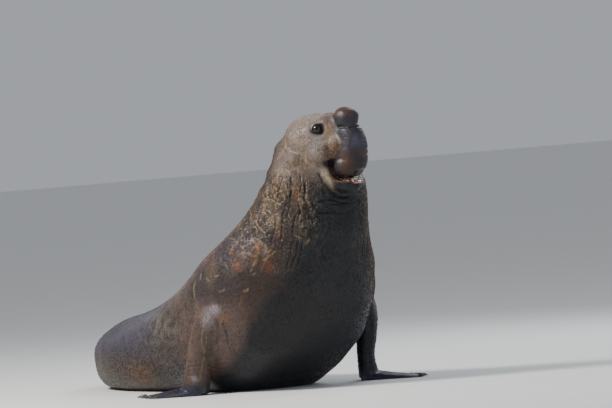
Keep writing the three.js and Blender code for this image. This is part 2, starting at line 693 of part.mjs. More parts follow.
// Hind flippers
const leftHind = hindFlipper(1, 0).intersect(aboveFloor).subtract(grownTrunk);
const rightHind = hindFlipper(-1, 0).intersect(aboveFloor).subtract(grownTrunk);
seal.add(named("hind_flipper_left", leftHind.subtract(hindFlipper(-1, GAP)), "flipper"));
seal.add(named("hind_flipper_right", rightHind, "flipper"));

// The origin is on the floor, under the middle of the whole animal.
const bounds = new THREE.Box3().setFromObject(seal);
const middle = bounds.getCenter(new THREE.Vector3());
seal.position.set(-middle.x, -middle.y, -bounds.min.z);

export default seal;
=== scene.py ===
"""A southern elephant seal bull, life size, reared up on its fore flippers with its mouth half open.

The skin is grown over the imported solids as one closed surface, then folded, creased and coloured by
rules that follow the animal's own form. Eyes, mouth parts, claws, whiskers and short hair are separate.
"""

from __future__ import annotations

import logging
import math
from dataclasses import dataclass, field
from enum import Enum

import bmesh
import bpy
import numpy as np
from mathutils import Matrix, Vector
from mathutils.bvhtree import BVHTree

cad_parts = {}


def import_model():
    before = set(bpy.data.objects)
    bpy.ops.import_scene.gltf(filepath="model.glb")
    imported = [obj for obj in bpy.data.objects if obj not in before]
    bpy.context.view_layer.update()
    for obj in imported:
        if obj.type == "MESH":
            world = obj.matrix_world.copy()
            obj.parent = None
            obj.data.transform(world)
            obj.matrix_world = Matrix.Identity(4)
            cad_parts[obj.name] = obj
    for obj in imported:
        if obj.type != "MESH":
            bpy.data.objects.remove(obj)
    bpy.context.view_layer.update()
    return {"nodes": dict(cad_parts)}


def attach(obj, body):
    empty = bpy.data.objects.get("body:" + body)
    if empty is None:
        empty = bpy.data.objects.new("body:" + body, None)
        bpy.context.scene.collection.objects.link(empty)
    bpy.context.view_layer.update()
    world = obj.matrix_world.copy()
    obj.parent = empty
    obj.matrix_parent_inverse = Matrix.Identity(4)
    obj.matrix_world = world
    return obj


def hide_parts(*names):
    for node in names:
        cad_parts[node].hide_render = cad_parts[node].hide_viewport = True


LOG = logging.getLogger("seal")

# The floor point under the chest, midway between the wrists, from which the body is measured.
CHEST = np.array([1.2606, -0.0396, 0.0])
# The point midway between the eyes, and how far the head is turned to the animal's left.
BROW = CHEST + np.array([0.570, 0.170, 2.000])
HEAD_TURN = math.radians(23)
COAT_DEPTH = 0.003

Array = np.ndarray
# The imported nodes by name, filled in when the model is loaded.
PACKED: dict[str, bpy.types.Object] = {}
Strokes = tuple[tuple[float, tuple[tuple[float, float], ...]], ...]

# The open mouth seen from the side, in the head's frame: ahead and up.
MOUTH_EDGE = np.array([
    (0.074, -0.258), (0.104, -0.240), (0.140, -0.232), (0.200, -0.236), (0.300, -0.290),
    (0.430, -0.330), (0.430, -0.425), (0.330, -0.424), (0.250, -0.413), (0.190, -0.405),
    (0.148, -0.392), (0.118, -0.355), (0.093, -0.302),
])

# Deep creases of the neck, throat and armpit: half width, then places in the reference view.
# Their darkness is painted shade.
CREASES: Strokes = (
    (1.15, ((283.5, 202), (282.5, 215), (281.8, 225), (281, 237))),
    (1.0, ((305.5, 180), (305, 189), (304, 197))),
    (0.9, ((295, 213), (293.5, 222), (293, 229))),
    (1.0, ((309, 205), (309.3, 216), (311, 231))),
    (0.8, ((287, 195), (285, 204))),
    (0.8, ((298, 199), (300, 209), (298, 217))),
    (0.8, ((291, 176), (292, 186), (290, 194))),
    (0.8, ((276, 214), (275, 226), (272, 236))),
    (0.8, ((300, 172), (301.5, 182), (300, 190))),
    (1.2, ((319, 172), (323, 180), (329, 187), (336, 192), (345, 194.5), (356, 192))),
    (1.0, ((322, 186), (328, 194), (337, 199), (347, 201), (358, 199))),
    (1.0, ((326, 203), (335, 208), (348, 210), (360, 207))),
    (0.7, ((292, 239), (291, 250), (287, 262))),
    (0.7, ((298, 238), (296, 250), (291, 264))),
    (0.7, ((303, 236), (301, 250), (297, 262))),
    (1.6, ((217, 318), (219, 330), (217, 341))),
    (1.5, ((223, 322), (227, 332), (228, 340))),
    (0.7, ((327, 146), (330, 149.5), (334, 151))),
)

# Pale healed scratches and loops of scar.
SCARS: Strokes = (
    (0.55, ((285, 167.5), (288, 169), (289.3, 172))),
    (0.6, ((284.5, 169), (282.8, 176), (285, 184), (287.5, 191))),
    (0.6, ((273, 183), (276, 186), (281, 188.5), (284, 194), (286, 198))),
    (0.5, ((274, 184), (272.8, 189), (275, 193.5))),
    (0.65, ((264, 196.3), (271, 196.7), (277, 200), (283, 202.7))),
    (0.5, ((271, 191), (271.6, 196.5))),
    (0.55, ((263, 201), (266, 206), (270.5, 209.5))),
    (0.5, ((263, 202), (264, 209), (268, 214))),
    (0.65, ((256, 217), (257, 222), (261, 226), (265, 229.5))),
    (0.6, ((255, 223), (256.5, 228), (258, 232.5))),
    (0.5, ((250.5, 208), (251.5, 217))),
    (0.5, ((250.5, 231), (254, 239))),
    (0.6, ((239.5, 225.5), (243, 226.3), (247.5, 222.8))),
    (0.5, ((242.3, 232), (240.5, 236.5), (236, 240), (233, 244.5), (230.2, 250))),
    (0.5, ((230, 235.5), (234, 236.5), (237, 240))),
    (0.5, ((263.5, 257), (270, 252), (275.5, 248))),
    (0.6, ((256, 256), (252.5, 263), (251, 268))),
    (0.75, ((219.5, 288.7), (222, 288.2), (224.3, 287))),
    (0.6, ((243.8, 288), (246, 287.8), (248.2, 285.8))),
    (0.8, ((207.2, 276), (208.7, 278.5))),
    (0.7, ((215.7, 273.7), (218.7, 273))),
    (0.55, ((195.3, 279), (193.8, 287), (194.8, 297))),
    (0.5, ((226.5, 261), (229, 266))),
    (0.5, ((201, 272), (200.5, 278))),
    (0.5, ((253.5, 271), (255.5, 269.5))),
    (0.7, ((299.3, 134), (300, 146), (299.8, 163))),
    (0.7, ((304.5, 136), (305.2, 150), (304.2, 166))),
    (0.5, ((285, 139), (286, 150))),
    (0.5, ((292, 231), (298, 233.5), (303.5, 236.5))),
    (0.6, ((309.5, 236), (306, 239.5))),
    (0.5, ((297, 183), (298.3, 190), (297.5, 198))),
    (0.45, ((279, 171), (277, 178), (279, 184))),
    (0.45, ((268, 184), (267, 190), (268, 195))),
    (0.45, ((289, 206), (288, 212), (290, 217))),
    (0.45, ((265, 213), (270, 219), (268, 226))),
    (0.45, ((283, 216), (287, 216.5), (289.5, 221))),
    (0.4, ((203.5, 322), (201.5, 336), (202.5, 349))),
    (0.4, ((204, 356), (202, 366), (200, 378))),
    (0.4, ((207, 330), (206, 344), (204, 352))),
    (0.6, ((327.5, 121), (329, 125), (331, 127))),
)

# Stained and bleached spots, and a painted highlight on the shoulder: place and reach in the reference view,
# colour and strength.
SPOTS = (
    ((297, 192), (3.5, 9), (150, 100, 66), 0.55),
    ((259, 244), (3, 4), (168, 112, 74), 0.75),
    ((238, 263), (5, 6), (150, 100, 72), 0.65),
    ((269, 262), (5, 8), (112, 68, 46), 0.7),
    ((255, 258), (3, 5), (150, 104, 78), 0.5),
    ((280, 231), (2.5, 3.5), (160, 108, 74), 0.6),
    ((223, 316), (6, 5), (124, 92, 58), 0.6),
    ((250, 298), (12, 18), (70, 48, 36), 0.6),
    ((211, 305), (4, 2), (150, 108, 88), 0.6),
    ((275, 217), (6, 9), (160, 138, 116), 0.6),
    # These two pale spots are a painted highlight on the shoulder.
    ((215, 307), (6, 5), (190, 182, 188), 0.65),
    ((208, 317), (6, 9), (180, 172, 178), 0.6),
    ((316, 196), (4, 5), (122, 118, 112), 0.5),
    ((265, 247), (3, 5), (150, 142, 146), 0.55),
    ((318, 246), (4, 7), (64, 60, 68), 0.5),
    ((242, 246), (9, 12), (92, 80, 90), 0.6),
    ((232, 282), (9, 10), (84, 74, 78), 0.4),
    ((195, 377), (3, 3), (170, 168, 178), 0.6),
    ((140, 380), (14, 9), (112, 76, 48), 0.6),
    ((212, 270), (5, 14), (128, 108, 84), 0.5),
)

# How far round from straight ahead the dark chest reaches, in degrees, at rising heights.
# The chest's darkness is wet hide with painted shade over it.
CHEST_HEIGHTS = (0.37, 0.48, 0.62, 0.77, 0.95, 1.18, 1.52)
CHEST_REACH = (69, 56, 42, 32, 28, 33, 29)
# How strongly the tints are darkened to the hide's own reflectance, and how much they are made vivid.
TINT_GAIN = 0.50
TINT_VIVID = 1.35

# The cobbled patch under the jaw: its place and its reach in the reference view.
COBBLED_PLACE = (311, 212)
COBBLED_REACH = (13, 24)
COBBLED_TINT_REACH = (12, 24)
# The furrow under the nose's bump, and its half height, in the head's frame.
BUMP_FURROW = 0.014
BUMP_FURROW_REACH = 0.009
# The first side of the mouth's edge that belongs to the lower jaw.
LOWER_LIP_FROM = 6


class Tone:
    """Screen colours of the hide, each named for where it lies; some are painted shade, sheen or highlight.
    """

    UNDERLYING = (68, 56, 52)
    SHOULDER = (55, 44, 41)
    BACK = (146, 128, 120)
    GREY_CLOUD = (82, 72, 80)
    RUST_CLOUD = (104, 72, 50)
    RUMP = (82, 77, 90)
    # Painted sheen on the top of the rump.
    RUMP_TOP_SHEEN = (100, 100, 111)
    RUMP_LOW = (60, 44, 32)
    DRY_FUR = (140, 134, 126)
    CHEST_BRINK = (58, 44, 38)
    # Near black: the chest's wet hide with painted shade.
    CHEST = (13, 14, 21)
    CHEST_SHEEN = (22, 32, 50)
    ARM = (102, 84, 78)
    ARM_STREAK = (124, 104, 88)
    # Painted shade: the left arm, on the shaded side, is laid near black.
    LEFT_ARM_SHADE = (12, 14, 24)
    HAND = (46, 48, 64)
    HAND_WORN = (128, 116, 100)
    NECK = (76, 63, 56)
    NECK_STREAK = (56, 42, 34)
    NECK_PALE = (140, 116, 92)
    NECK_RUST = (146, 98, 66)
    COBBLE = (86, 80, 72)
    # Painted highlight on the tops of the cobbles, and painted shade in the seams between them.
    COBBLE_TOP_HIGHLIGHT = (132, 126, 114)
    COBBLE_SEAM_SHADE = (30, 27, 26)
    SCAR_NET = (186, 160, 130)
    SCAR_FLANK = (176, 152, 122)
    SCAR = (200, 176, 142)
    # Painted shade in the creases and in every hollow of the folded skin.
    CREASE_SHADE = (24, 18, 16)
    PIT_SHADE = (26, 20, 18)
    # Painted shade on the throat under the jaw.
    THROAT_SHADE = (22, 23, 28)
    FACE = (164, 150, 142)
    # Painted highlight on the top of the head.
    CROWN_HIGHLIGHT = (182, 172, 166)
    FOREHEAD = (128, 110, 102)
    CHEEK_SHEEN = (190, 186, 184)
    JOWL = (148, 130, 118)
    FACE_CLOUD = (104, 86, 76)
    FACE_STREAK = (190, 168, 138)
    PAD = (122, 98, 80)
    PAD_SEAM = (58, 44, 38)
    NOSE_FLANK = (178, 148, 112)
    LIP = (172, 160, 142)
    # Painted shade on the front of the chin.
    CHIN_SHADE = (22, 26, 32)
    THROAT_RING = (92, 88, 80)
    LIP_INSIDE = (132, 120, 100)
    # The mouth's roof: dark red lining, made near black by painted shade.
    PALATE_IN_SHADE = (30, 20, 20)
    MOUTH_FLOOR = (84, 44, 42)
    # Painted shade in the corners of the mouth.
    MOUTH_CORNER_SHADE = (16, 12, 12)
    LID_SKIN = (120, 104, 96)
    LID_RIM = (10, 9, 12)
    NOSE = (56, 52, 62)
    NOSE_LOW = (28, 26, 32)
    BUMP = (84, 64, 60)
    BUMP_TOP = (104, 76, 68)
    NOSE_BLOTCH = (92, 70, 54)
    NOSE_BROWN = (92, 64, 46)
    NOSE_SHEEN = (96, 92, 108)
    # Painted shade in the furrow under the bump.
    NOSE_FURROW_SHADE = (12, 11, 13)
    NOSE_LOBE = (74, 72, 82)


class Zone(Enum):
    """Regions of the hide, each with how far its surface may relax (0 is not at all)."""

    HEAD = 0.22
    NOSE = 0.09
    JAW = 0.07
    NECK = 0.7
    TRUNK = 1.0
    ARM = 0.3
    HAND = 0.03
    HIND = 0.035


NODE_ZONES: dict[str, Zone] = {
    "head": Zone.HEAD,
    "nose": Zone.NOSE,
    "lower_jaw": Zone.JAW,
    "eye_left": Zone.HEAD,
    "eye_right": Zone.HEAD,
    "neck": Zone.NECK,
    "chest": Zone.TRUNK,
    "belly": Zone.TRUNK,
    "hips": Zone.TRUNK,
    "tail": Zone.ARM,
    "arm_left": Zone.ARM,
    "arm_right": Zone.ARM,
    "hand_left": Zone.HAND,
    "hand_right": Zone.HAND,
    "hind_flipper_left": Zone.HIND,
    "hind_flipper_right": Zone.HIND,
}


def linear(red: int, green: int, blue: int) -> Array:
    """A screen colour as linear light."""
    c = np.array([red, green, blue]) / 255
    return np.where(c <= 0.04045, c / 12.92, ((c + 0.055) / 1.055) ** 2.4)


def smoothstep(low: float, high: float, value: Array) -> Array:
    """A smooth ramp from 0 at low to 1 at high."""
    t = np.clip((value - low) / (high - low), 0, 1)
    return t * t * (3 - 2 * t)


def near(distance: Array, reach: float) -> Array:
    """A soft weight that is 1 at no distance and almost 0 at twice the reach."""
    return np.exp(-((distance / reach) ** 2))


def to_head(points: Array) -> Array:
    """Points in the head's own frame: x ahead, y left, z up.

    Args:
        points: Places in the model's frame.

    Returns:
        The same places in the head's frame.
    """
    c, s = math.cos(HEAD_TURN), math.sin(HEAD_TURN)
    d = points - BROW
    return np.stack([c * d[:, 0] + s * d[:, 1], -s * d[:, 0] + c * d[:, 1], d[:, 2]], 1)


def from_head(points: Array) -> Array:
    """Points given in the head's own frame, in the model's frame.

    Args:
        points: Places in the head's frame.

    Returns:
        The same places in the model's frame.
    """
    c, s = math.cos(HEAD_TURN), math.sin(HEAD_TURN)
    p = np.atleast_2d(points)
    return np.stack([c * p[:, 0] - s * p[:, 1], s * p[:, 0] + c * p[:, 1], p[:, 2]], 1) + BROW


def segment_gap(places: Array, a: Array, b: Array) -> Array:
    """The distance of each flat place from the stretch of line between two points."""
    share = np.clip(((places - a) @ (b - a)) / ((b - a) @ (b - a)), 0, 1)
    return np.linalg.norm(places - a - share[:, None] * (b - a), axis=1)


def bands(rows: int, around: int) -> list[tuple[int, ...]]:
    """The four-sided faces between closed rings of points.

    Args:
        rows: How many rings there are.
        around: How many points each ring has.

    Returns:
        Point numbers of each face.
    """
    faces: list[tuple[int, ...]] = []
    for row in range(rows - 1):
        here, there = row * around, (row + 1) * around
        for k in range(around):
            j = (k + 1) % around
            faces.append((here + k, there + k, there + j, here + j))
    return faces


class Noise:
    """Seeded noise fields over points in space."""

    PRIMES = (73856093, 19349663, 83492791)

    @classmethod
    def mixed(cls, x: Array, y: Array, z: Array, seed: int) -> Array:
        """A number from 0 to 1 out of three whole numbers and a seed.

        Args:
            x: First number.
            y: Second number.
            z: Third number.
            seed: Chooses the field.

        Returns:
            A value from 0 to 1 for each.
        """
        h = x ^ y ^ z ^ (seed * 2654435761)
        h = (h ^ (h >> 13)) * 1274126177 & 0x7FFFFFFF
        h = (h ^ (h >> 15)) * 461845907 & 0x7FFFFFFF
        return ((h ^ (h >> 11)) & 0xFFFFF) / float(0xFFFFF)

    @classmethod
    def value(cls, points: Array, size: float, seed: int) -> Array:
        """Smooth noise from -1 to 1 with features of the given size.

        Args:
            points: Where to read it.
            size: Distance from one feature to the next.
            seed: Chooses the field.

        Returns:
            One value per point.
        """
        q = points / size
        base = np.floor(q)
        f = q - base
        rising = (f * f * (3 - 2 * f)).T
        cell = [base[:, k].astype(np.int64) * cls.PRIMES[k] for k in range(3)]
        total = np.zeros(len(points))
        for corner in np.ndindex(2, 2, 2):
            keys = [cell[k] + cls.PRIMES[k] if corner[k] else cell[k] for k in range(3)]
            share = [rising[k] if corner[k] else 1 - rising[k] for k in range(3)]
            total += share[0] * share[1] * share[2] * cls.mixed(*keys, seed)
        return total * 2 - 1

    @classmethod
    def layered(cls, points: Array, size: float, seed: int, octaves: int = 3) -> Array:
        """Noise with finer and fainter layers on top, from about -1 to 1.

        Args:
            points: Where to read it.
            size: Size of the coarsest features.
            seed: Chooses the field.
            octaves: How many layers there are.

        Returns:
            One value per point.
        """
        total, scale = np.zeros(len(points)), 0.0
        for k in range(octaves):
            total += cls.value(points, size / 2**k, seed + 17 * k) * 0.5**k
            scale += 0.5**k
        return total / scale

    @classmethod
    def cells(cls, points: Array, size: float, seed: int) -> tuple[Array, Array]:
        """Distances to the nearest and second nearest of scattered seeds, in cell sizes.

        Args:
            points: Where to read them.
            size: Mean distance between seeds.
            seed: Chooses the field.

        Returns:
            The nearest and the second nearest distance for each point.
        """
        q = points / size
        base = np.floor(q)
        first = np.full(len(points), 9.0)
        second = np.full(len(points), 9.0)
        for offset in np.ndindex(3, 3, 3):
            cell = base + np.array(offset) - 1
            keys = [cell[:, k].astype(np.int64) * cls.PRIMES[k] for k in range(3)]
            spot = cell + np.stack([cls.mixed(*keys, seed + k) for k in range(3)], 1)
            d = np.linalg.norm(q - spot, axis=1)
            closer = d < first
            second = np.where(closer, first, np.minimum(second, d))
            first = np.where(closer, d, first)
        return first, second


class Net:
    """A surface as arrays, with the smoothing and normals that sculpting needs."""

    def __init__(self, mesh: bpy.types.Mesh) -> None:
        """Takes in a mesh's points and its faces, grouped by their number of corners.

        Args:
            mesh: The mesh to read.
        """
        flat = np.empty(len(mesh.vertices) * 3)
        mesh.vertices.foreach_get("co", flat)
        self.points = flat.reshape(-1, 3)
        corners = np.empty(len(mesh.loops), dtype=np.int64)
        mesh.loops.foreach_get("vertex_index", corners)
        starts = np.empty(len(mesh.polygons), dtype=np.int64)
        totals = np.empty(len(mesh.polygons), dtype=np.int64)
        mesh.polygons.foreach_get("loop_start", starts)
        mesh.polygons.foreach_get("loop_total", totals)
        self.groups = [corners[starts[totals == n][:, None] + np.arange(n)] for n in np.unique(totals)]
        ends = np.empty(len(mesh.edges) * 2, dtype=np.int64)
        mesh.edges.foreach_get("vertices", ends)
        edges = ends.reshape(-1, 2)
        self.start = np.concatenate([edges[:, 0], edges[:, 1]])
        self.stop = np.concatenate([edges[:, 1], edges[:, 0]])
        self.valence = np.maximum(np.bincount(self.start, minlength=len(self.points)), 1)

    def average(self, values: Array) -> Array:
        """The mean of each vertex's neighbours, for a number or a vector at each vertex.

        Args:
            values: A row for each vertex.

        Returns:
            The neighbours' mean for each vertex.
        """
        columns = values.reshape(len(values), -1)
        n = len(self.points)
        mean = [np.bincount(self.start, columns[self.stop, k], n) for k in range(columns.shape[1])]
        return (np.stack(mean, 1) / self.valence[:, None]).reshape(values.shape)

    def spread(self, values: Array, rounds: int) -> Array:
        """Values blurred over the surface.

        Args:
            values: A row for each vertex.
            rounds: How many times they are blurred.

        Returns:
            The blurred values.
        """
        for _ in range(rounds):
            values = 0.4 * values + 0.6 * self.average(values)
        return values

    def normals(self) -> Array:
        """Outward unit normals at the vertices.

        Returns:
            One unit vector per vertex.
        """
        total = np.zeros_like(self.points)
        for group in self.groups:
            p = self.points[group]
            cross = np.zeros((len(group), 3))
            for k in range(1, group.shape[1] - 1):
                cross += np.cross(p[:, k] - p[:, 0], p[:, k + 1] - p[:, 0])
            for k in range(group.shape[1]):
                for axis in range(3):
                    total[:, axis] += np.bincount(group[:, k], cross[:, axis], len(total))
        return total / np.maximum(np.linalg.norm(total, axis=1, keepdims=True), 1e-12)

    def relax(self, freedom: Array, rounds: int) -> None:
        """Smooths the surface and then swells it back to its former volume.

        Args:
            freedom: How freely each vertex may move, from 0 to 1.
            rounds: How many passes are made.
        """
        before = self.points.copy()
        step = 0.6 * freedom[:, None]
        for _ in range(rounds):
            self.points = self.points + step * (self.average(self.points) - self.points)
        normals = self.normals()
        lost = np.einsum("ij,ij->i", before - self.points, normals)
        self.points += normals * self.spread(lost, 40)[:, None] * np.minimum(1, freedom * 3)[:, None]


class View:
    """Places on the animal as picture points of the reference view, for both of its sides.

    The far side takes the same marks as the near one, mirrored in the plane that the body, neck and
    head are bent along.
    """

    POINT = 0.0078
    AZIMUTH = math.radians(58)
    ROLL = math.radians(4)
    ORIGIN = (287, 388)
    HEIGHTS = (0.85, 1.15, 1.40, 1.58, 1.74, 1.86, 2.0)
    MIDDLES = (
        (-0.09, 0.01), (0.2, 0.06), (0.35, 0.09), (0.385, 0.152), (0.35, 0.14), (0.345, 0.095), (0.57, 0.17),
    )
    FACINGS = (0, 4, 10, 15, 19, 23, 23)

    def __init__(self, points: Array, normals: Array) -> None:
        """Finds each point and its mirror image in the view.

        Args:
            points: Places on the skin.
            normals: The skin's normals there.
        """
        body = points - CHEST
        height = body[:, 2]
        columns = np.array(self.MIDDLES, dtype=float).T
        middle = np.stack([np.interp(height, self.HEIGHTS, column) for column in columns], 1)
        facing = np.radians(np.interp(height, self.HEIGHTS, self.FACINGS))
        left = np.stack([-np.sin(facing), np.cos(facing)], 1)
        self.across = ((body[:, :2] - middle) * left).sum(1)
        self.facing = facing
        mirrored = body.copy()
        mirrored[:, :2] -= 2 * self.across[:, None] * left
        flipped = normals.copy()
        flipped[:, :2] -= 2 * (normals[:, :2] * left).sum(1)[:, None] * left
        self.sides = [self.seen(body, normals), self.seen(mirrored, flipped)]

    def seen(self, body: Array, normals: Array) -> tuple[Array, Array]:
        """Picture points of places, and how much each faces the view.

        Args:
            body: Places from the chest's floor point.
            normals: The skin's normals there.

        Returns:
            Picture points, and weights from 0 to 1.
        """
        c, s = math.cos(self.AZIMUTH), math.sin(self.AZIMUTH)
        u = body[:, 0] * c + body[:, 1] * s
        v = body[:, 2]
        a = u * math.cos(self.ROLL) - v * math.sin(self.ROLL)
        b = u * math.sin(self.ROLL) + v * math.cos(self.ROLL)
        towards = normals[:, 0] * s - normals[:, 1] * c
        pixels = np.stack([self.ORIGIN[0] + a / self.POINT, self.ORIGIN[1] - b / self.POINT], 1)
        return pixels, smoothstep(-0.05, 0.2, towards)

    def strokes(self, strokes: Strokes) -> Array:
        """How strongly each place lies on one of some strokes.

        Args:
            strokes: Each with its half width and its points.

        Returns:
            A weight from 0 to 1 for each place.
        """
        best = np.zeros(len(self.across))
        for pixels, weight in self.sides:
            for width, path in strokes:
                nodes = np.array(path, dtype=float)
                low, high = nodes.min(0) - 3 * width, nodes.max(0) + 3 * width
                chosen = np.nonzero(((pixels > low) & (pixels < high)).all(1) & (weight > 0.01))[0]
                if not len(chosen):
                    continue
                q = pixels[chosen]
                distance = np.full(len(q), 99.0)
                for a, b in zip(nodes[:-1], nodes[1:]):
                    distance = np.minimum(distance, segment_gap(q, a, b))
                best[chosen] = np.maximum(best[chosen], near(distance, width) * weight[chosen])
        return best

    def patch(self, centre: tuple[float, float], reach: tuple[float, float]) -> Array:
        """A soft spot at a picture point, on both sides of the animal.

        Args:
            centre: The spot's middle in the view.
            reach: Its half width and half height.

        Returns:
            A weight from 0 to 1 for each place.
        """
        best = np.zeros(len(self.across))
        for pixels, weight in self.sides:
            gap = np.linalg.norm((pixels - centre) / reach, axis=1)
            best = np.maximum(best, near(gap, 1.0) * weight)
        return best


def mesh_object(
    name: str, points: Array, faces: Array | list[tuple[int, ...]], smooth: bool = True
) -> bpy.types.Object:
    """Makes a mesh object in the scene.

    Args:
        name: The piece's name.
        points: Vertex positions in metres.
        faces: Vertex numbers of each face.
        smooth: Whether it is shaded smooth.

    Returns:
        The new object.
    """
    mesh = bpy.data.meshes.new(name)
    corners = faces.tolist() if isinstance(faces, np.ndarray) else faces
    mesh.from_pydata(np.asarray(points).tolist(), [], corners)
    mesh.shade_smooth() if smooth else mesh.shade_flat()
    piece = bpy.data.objects.new(name, mesh)
    bpy.context.scene.collection.objects.link(piece)
    return piece


def set_colours(piece: bpy.types.Object, name: str, values: Array) -> None:
    """Writes one colour per vertex into a named attribute.

    Args:
        piece: The object that takes it.
        name: The attribute's name.
        values: Up to four numbers a vertex.
    """
    attribute = piece.data.color_attributes.new(name, "FLOAT_COLOR", "POINT")
    rgba = np.ones((len(values), 4))
    rgba[:, : values.shape[1]] = values
    attribute.data.foreach_set("color", rgba.ravel())


def tube(path: Array, radii: Array, around: int = 8) -> tuple[Array, list[tuple[int, ...]]]:
    """A closed round tube along a path, pointed or blunt as its radii say.

    Args:
        path: Centre points, one row each.
        radii: The radius at each centre point.
        around: How many sides it has.

    Returns:
        Points and faces.
    """
    along = np.gradient(path, axis=0)
    along /= np.linalg.norm(along, axis=1, keepdims=True)
    side = np.cross(along, [0.0, 0.0, 1.0] if abs(along[0, 2]) < 0.9 else [1.0, 0.0, 0.0])
    side /= np.linalg.norm(side, axis=1, keepdims=True)
    other = np.cross(along, side)
    turn = np.linspace(0, 2 * math.pi, around, endpoint=False)
    ring = np.cos(turn)[None, :, None] * side[:, None] + np.sin(turn)[None, :, None] * other[:, None]
    points = (path[:, None] + ring * radii[:, None, None]).reshape(-1, 3)
    faces = [(a, d, c, b) for a, b, c, d in bands(len(path), around)]
    last = (len(path) - 1) * around
    faces.append(tuple(range(around))[::-1])
    faces.append(tuple(range(last, last + around)))
    return points, faces


def gathered(parts: list[tuple[Array, list[tuple[int, ...]]]]) -> tuple[Array, list[tuple[int, ...]]]:
    """Several shapes as one list of points and faces.

    Args:
        parts: Each shape's points and faces.

    Returns:
        All their points, and faces that count through them.
    """
    points, faces, base = [], [], 0
    for p, f in parts:
        points.append(p)
        faces += [tuple(v + base for v in face) for face in f]
        base += len(p)
    return np.concatenate(points), faces


class Nodes:
    """Short ways to add and join shader nodes in one material."""

    def __init__(self, name: str) -> None:
        """Starts an empty material with its shader and output.

        Args:
            name: The material's name.
        """
        self.material = bpy.data.materials.new(name)
        self.material.use_nodes = True
        self.tree = self.material.node_tree
        self.tree.nodes.clear()
        self.shader = self.add("ShaderNodeBsdfPrincipled")
        output = self.add("ShaderNodeOutputMaterial")
        self.join(self.shader.outputs["BSDF"], output.inputs["Surface"])
        self.place = self.add("ShaderNodeTexCoord").outputs["Object"]

    def add(self, kind: str) -> bpy.types.Node:
        """A new node."""
        return self.tree.nodes.new(kind)

    def join(self, output: bpy.types.NodeSocket, socket: bpy.types.NodeSocket) -> None:
        """A link between two sockets."""
        self.tree.links.new(output, socket)

    def put(self, socket: bpy.types.NodeSocket, value: object) -> None:
        """Feeds a socket with another socket or a constant.

        Args:
            socket: The socket to feed.
            value: A socket or a constant.
        """
        if isinstance(value, bpy.types.NodeSocket):
            self.join(value, socket)
        else:
            socket.default_value = value

    def maths(self, operation: str, a: object, b: object = 0.0) -> bpy.types.NodeSocket:
        """A math node's result.

        Args:
            operation: Blender's name for it.
            a: First value.
            b: Second value.

        Returns:
            The result's socket.
        """
        node = self.add("ShaderNodeMath")
        node.operation = operation
        self.put(node.inputs[0], a)
        self.put(node.inputs[1], b)
        return node.outputs[0]

    def stretched(self, scale: tuple[float, float, float]) -> bpy.types.NodeSocket:
        """The object coordinates stretched along each axis.

        Args:
            scale: The factor along each axis.

        Returns:
            The coordinates' socket.
        """
        node = self.add("ShaderNodeMapping")
        self.join(self.place, node.inputs["Vector"])
        node.inputs["Scale"].default_value = scale
        return node.outputs["Vector"]

    def noise(
        self, scale: float, detail: float, where: bpy.types.NodeSocket | None = None
    ) -> bpy.types.NodeSocket:
        """A noise texture's strength.

        Args:
            scale: How fine it is.
            detail: How many layers it has.
            where: Other coordinates than the object's.

        Returns:
            The strength's socket.
        """
        node = self.add("ShaderNodeTexNoise")
        self.join(where or self.place, node.inputs["Vector"])
        node.inputs["Scale"].default_value = scale
        node.inputs["Detail"].default_value = detail
        return node.outputs["Fac"]

    def cracks(self, scale: float) -> bpy.types.NodeSocket:
        """The distance to the nearest edge of a cell pattern.

        Args:
            scale: How many cells there are to a metre.

        Returns:
            The distance's socket.
        """
        node = self.add("ShaderNodeTexVoronoi")
        node.feature = "DISTANCE_TO_EDGE"
        self.join(self.place, node.inputs["Vector"])
        node.inputs["Scale"].default_value = scale
        return node.outputs["Distance"]

    def ramp(
        self, value: bpy.types.NodeSocket, low: float, high: float, out: tuple[float, float] = (0, 1)
    ) -> bpy.types.NodeSocket:
        """A value mapped smoothly from one range to another.

        Args:
            value: What is mapped.
            low: Where the ramp starts.
            high: Where it ends.
            out: The values at both ends.

        Returns:
            The result's socket.
        """
        node = self.add("ShaderNodeMapRange")
        node.interpolation_type = "SMOOTHSTEP"
        self.join(value, node.inputs["Value"])
        for name, number in zip(("From Min", "From Max", "To Min", "To Max"), (low, high, *out)):
            node.inputs[name].default_value = number
        return node.outputs["Result"]

    def blend(self, amount: object, a: object, b: object, kind: str = "MIX") -> bpy.types.NodeSocket:
        """Two colours mixed.

        Args:
            amount: The share of the second colour.
            a: First colour.
            b: Second colour.
            kind: How they mix.

        Returns:
            The result's socket.
        """
        node = self.add("ShaderNodeMix")
        node.data_type = "RGBA"
        node.blend_type = kind
        self.put(node.inputs["Factor"], amount)
        self.put(node.inputs["A"], a)
        self.put(node.inputs["B"], b)
        return node.outputs["Result"]

    def attribute(self, name: str) -> bpy.types.Node:
        """A node that reads a named attribute of the mesh.

        Args:
            name: The attribute's name.

        Returns:
            The node.
        """
        node = self.add("ShaderNodeAttribute")
        node.attribute_name = name
        return node

    def bump(self, heights: list[tuple[bpy.types.NodeSocket, float, float]]) -> None:
        """Chains bumps into the shader's normal.

        Args:
            heights: For each, its height socket, strength and distance in metres.
        """
        normal = None
        for height, strength, distance in heights:
            node = self.add("ShaderNodeBump")
            node.inputs["Strength"].default_value = strength
            node.inputs["Distance"].default_value = distance
            self.join(height, node.inputs["Height"])
            if normal is not None:
                self.join(normal, node.inputs["Normal"])
            normal = node.outputs["Normal"]
        self.join(normal, self.shader.inputs["Normal"])


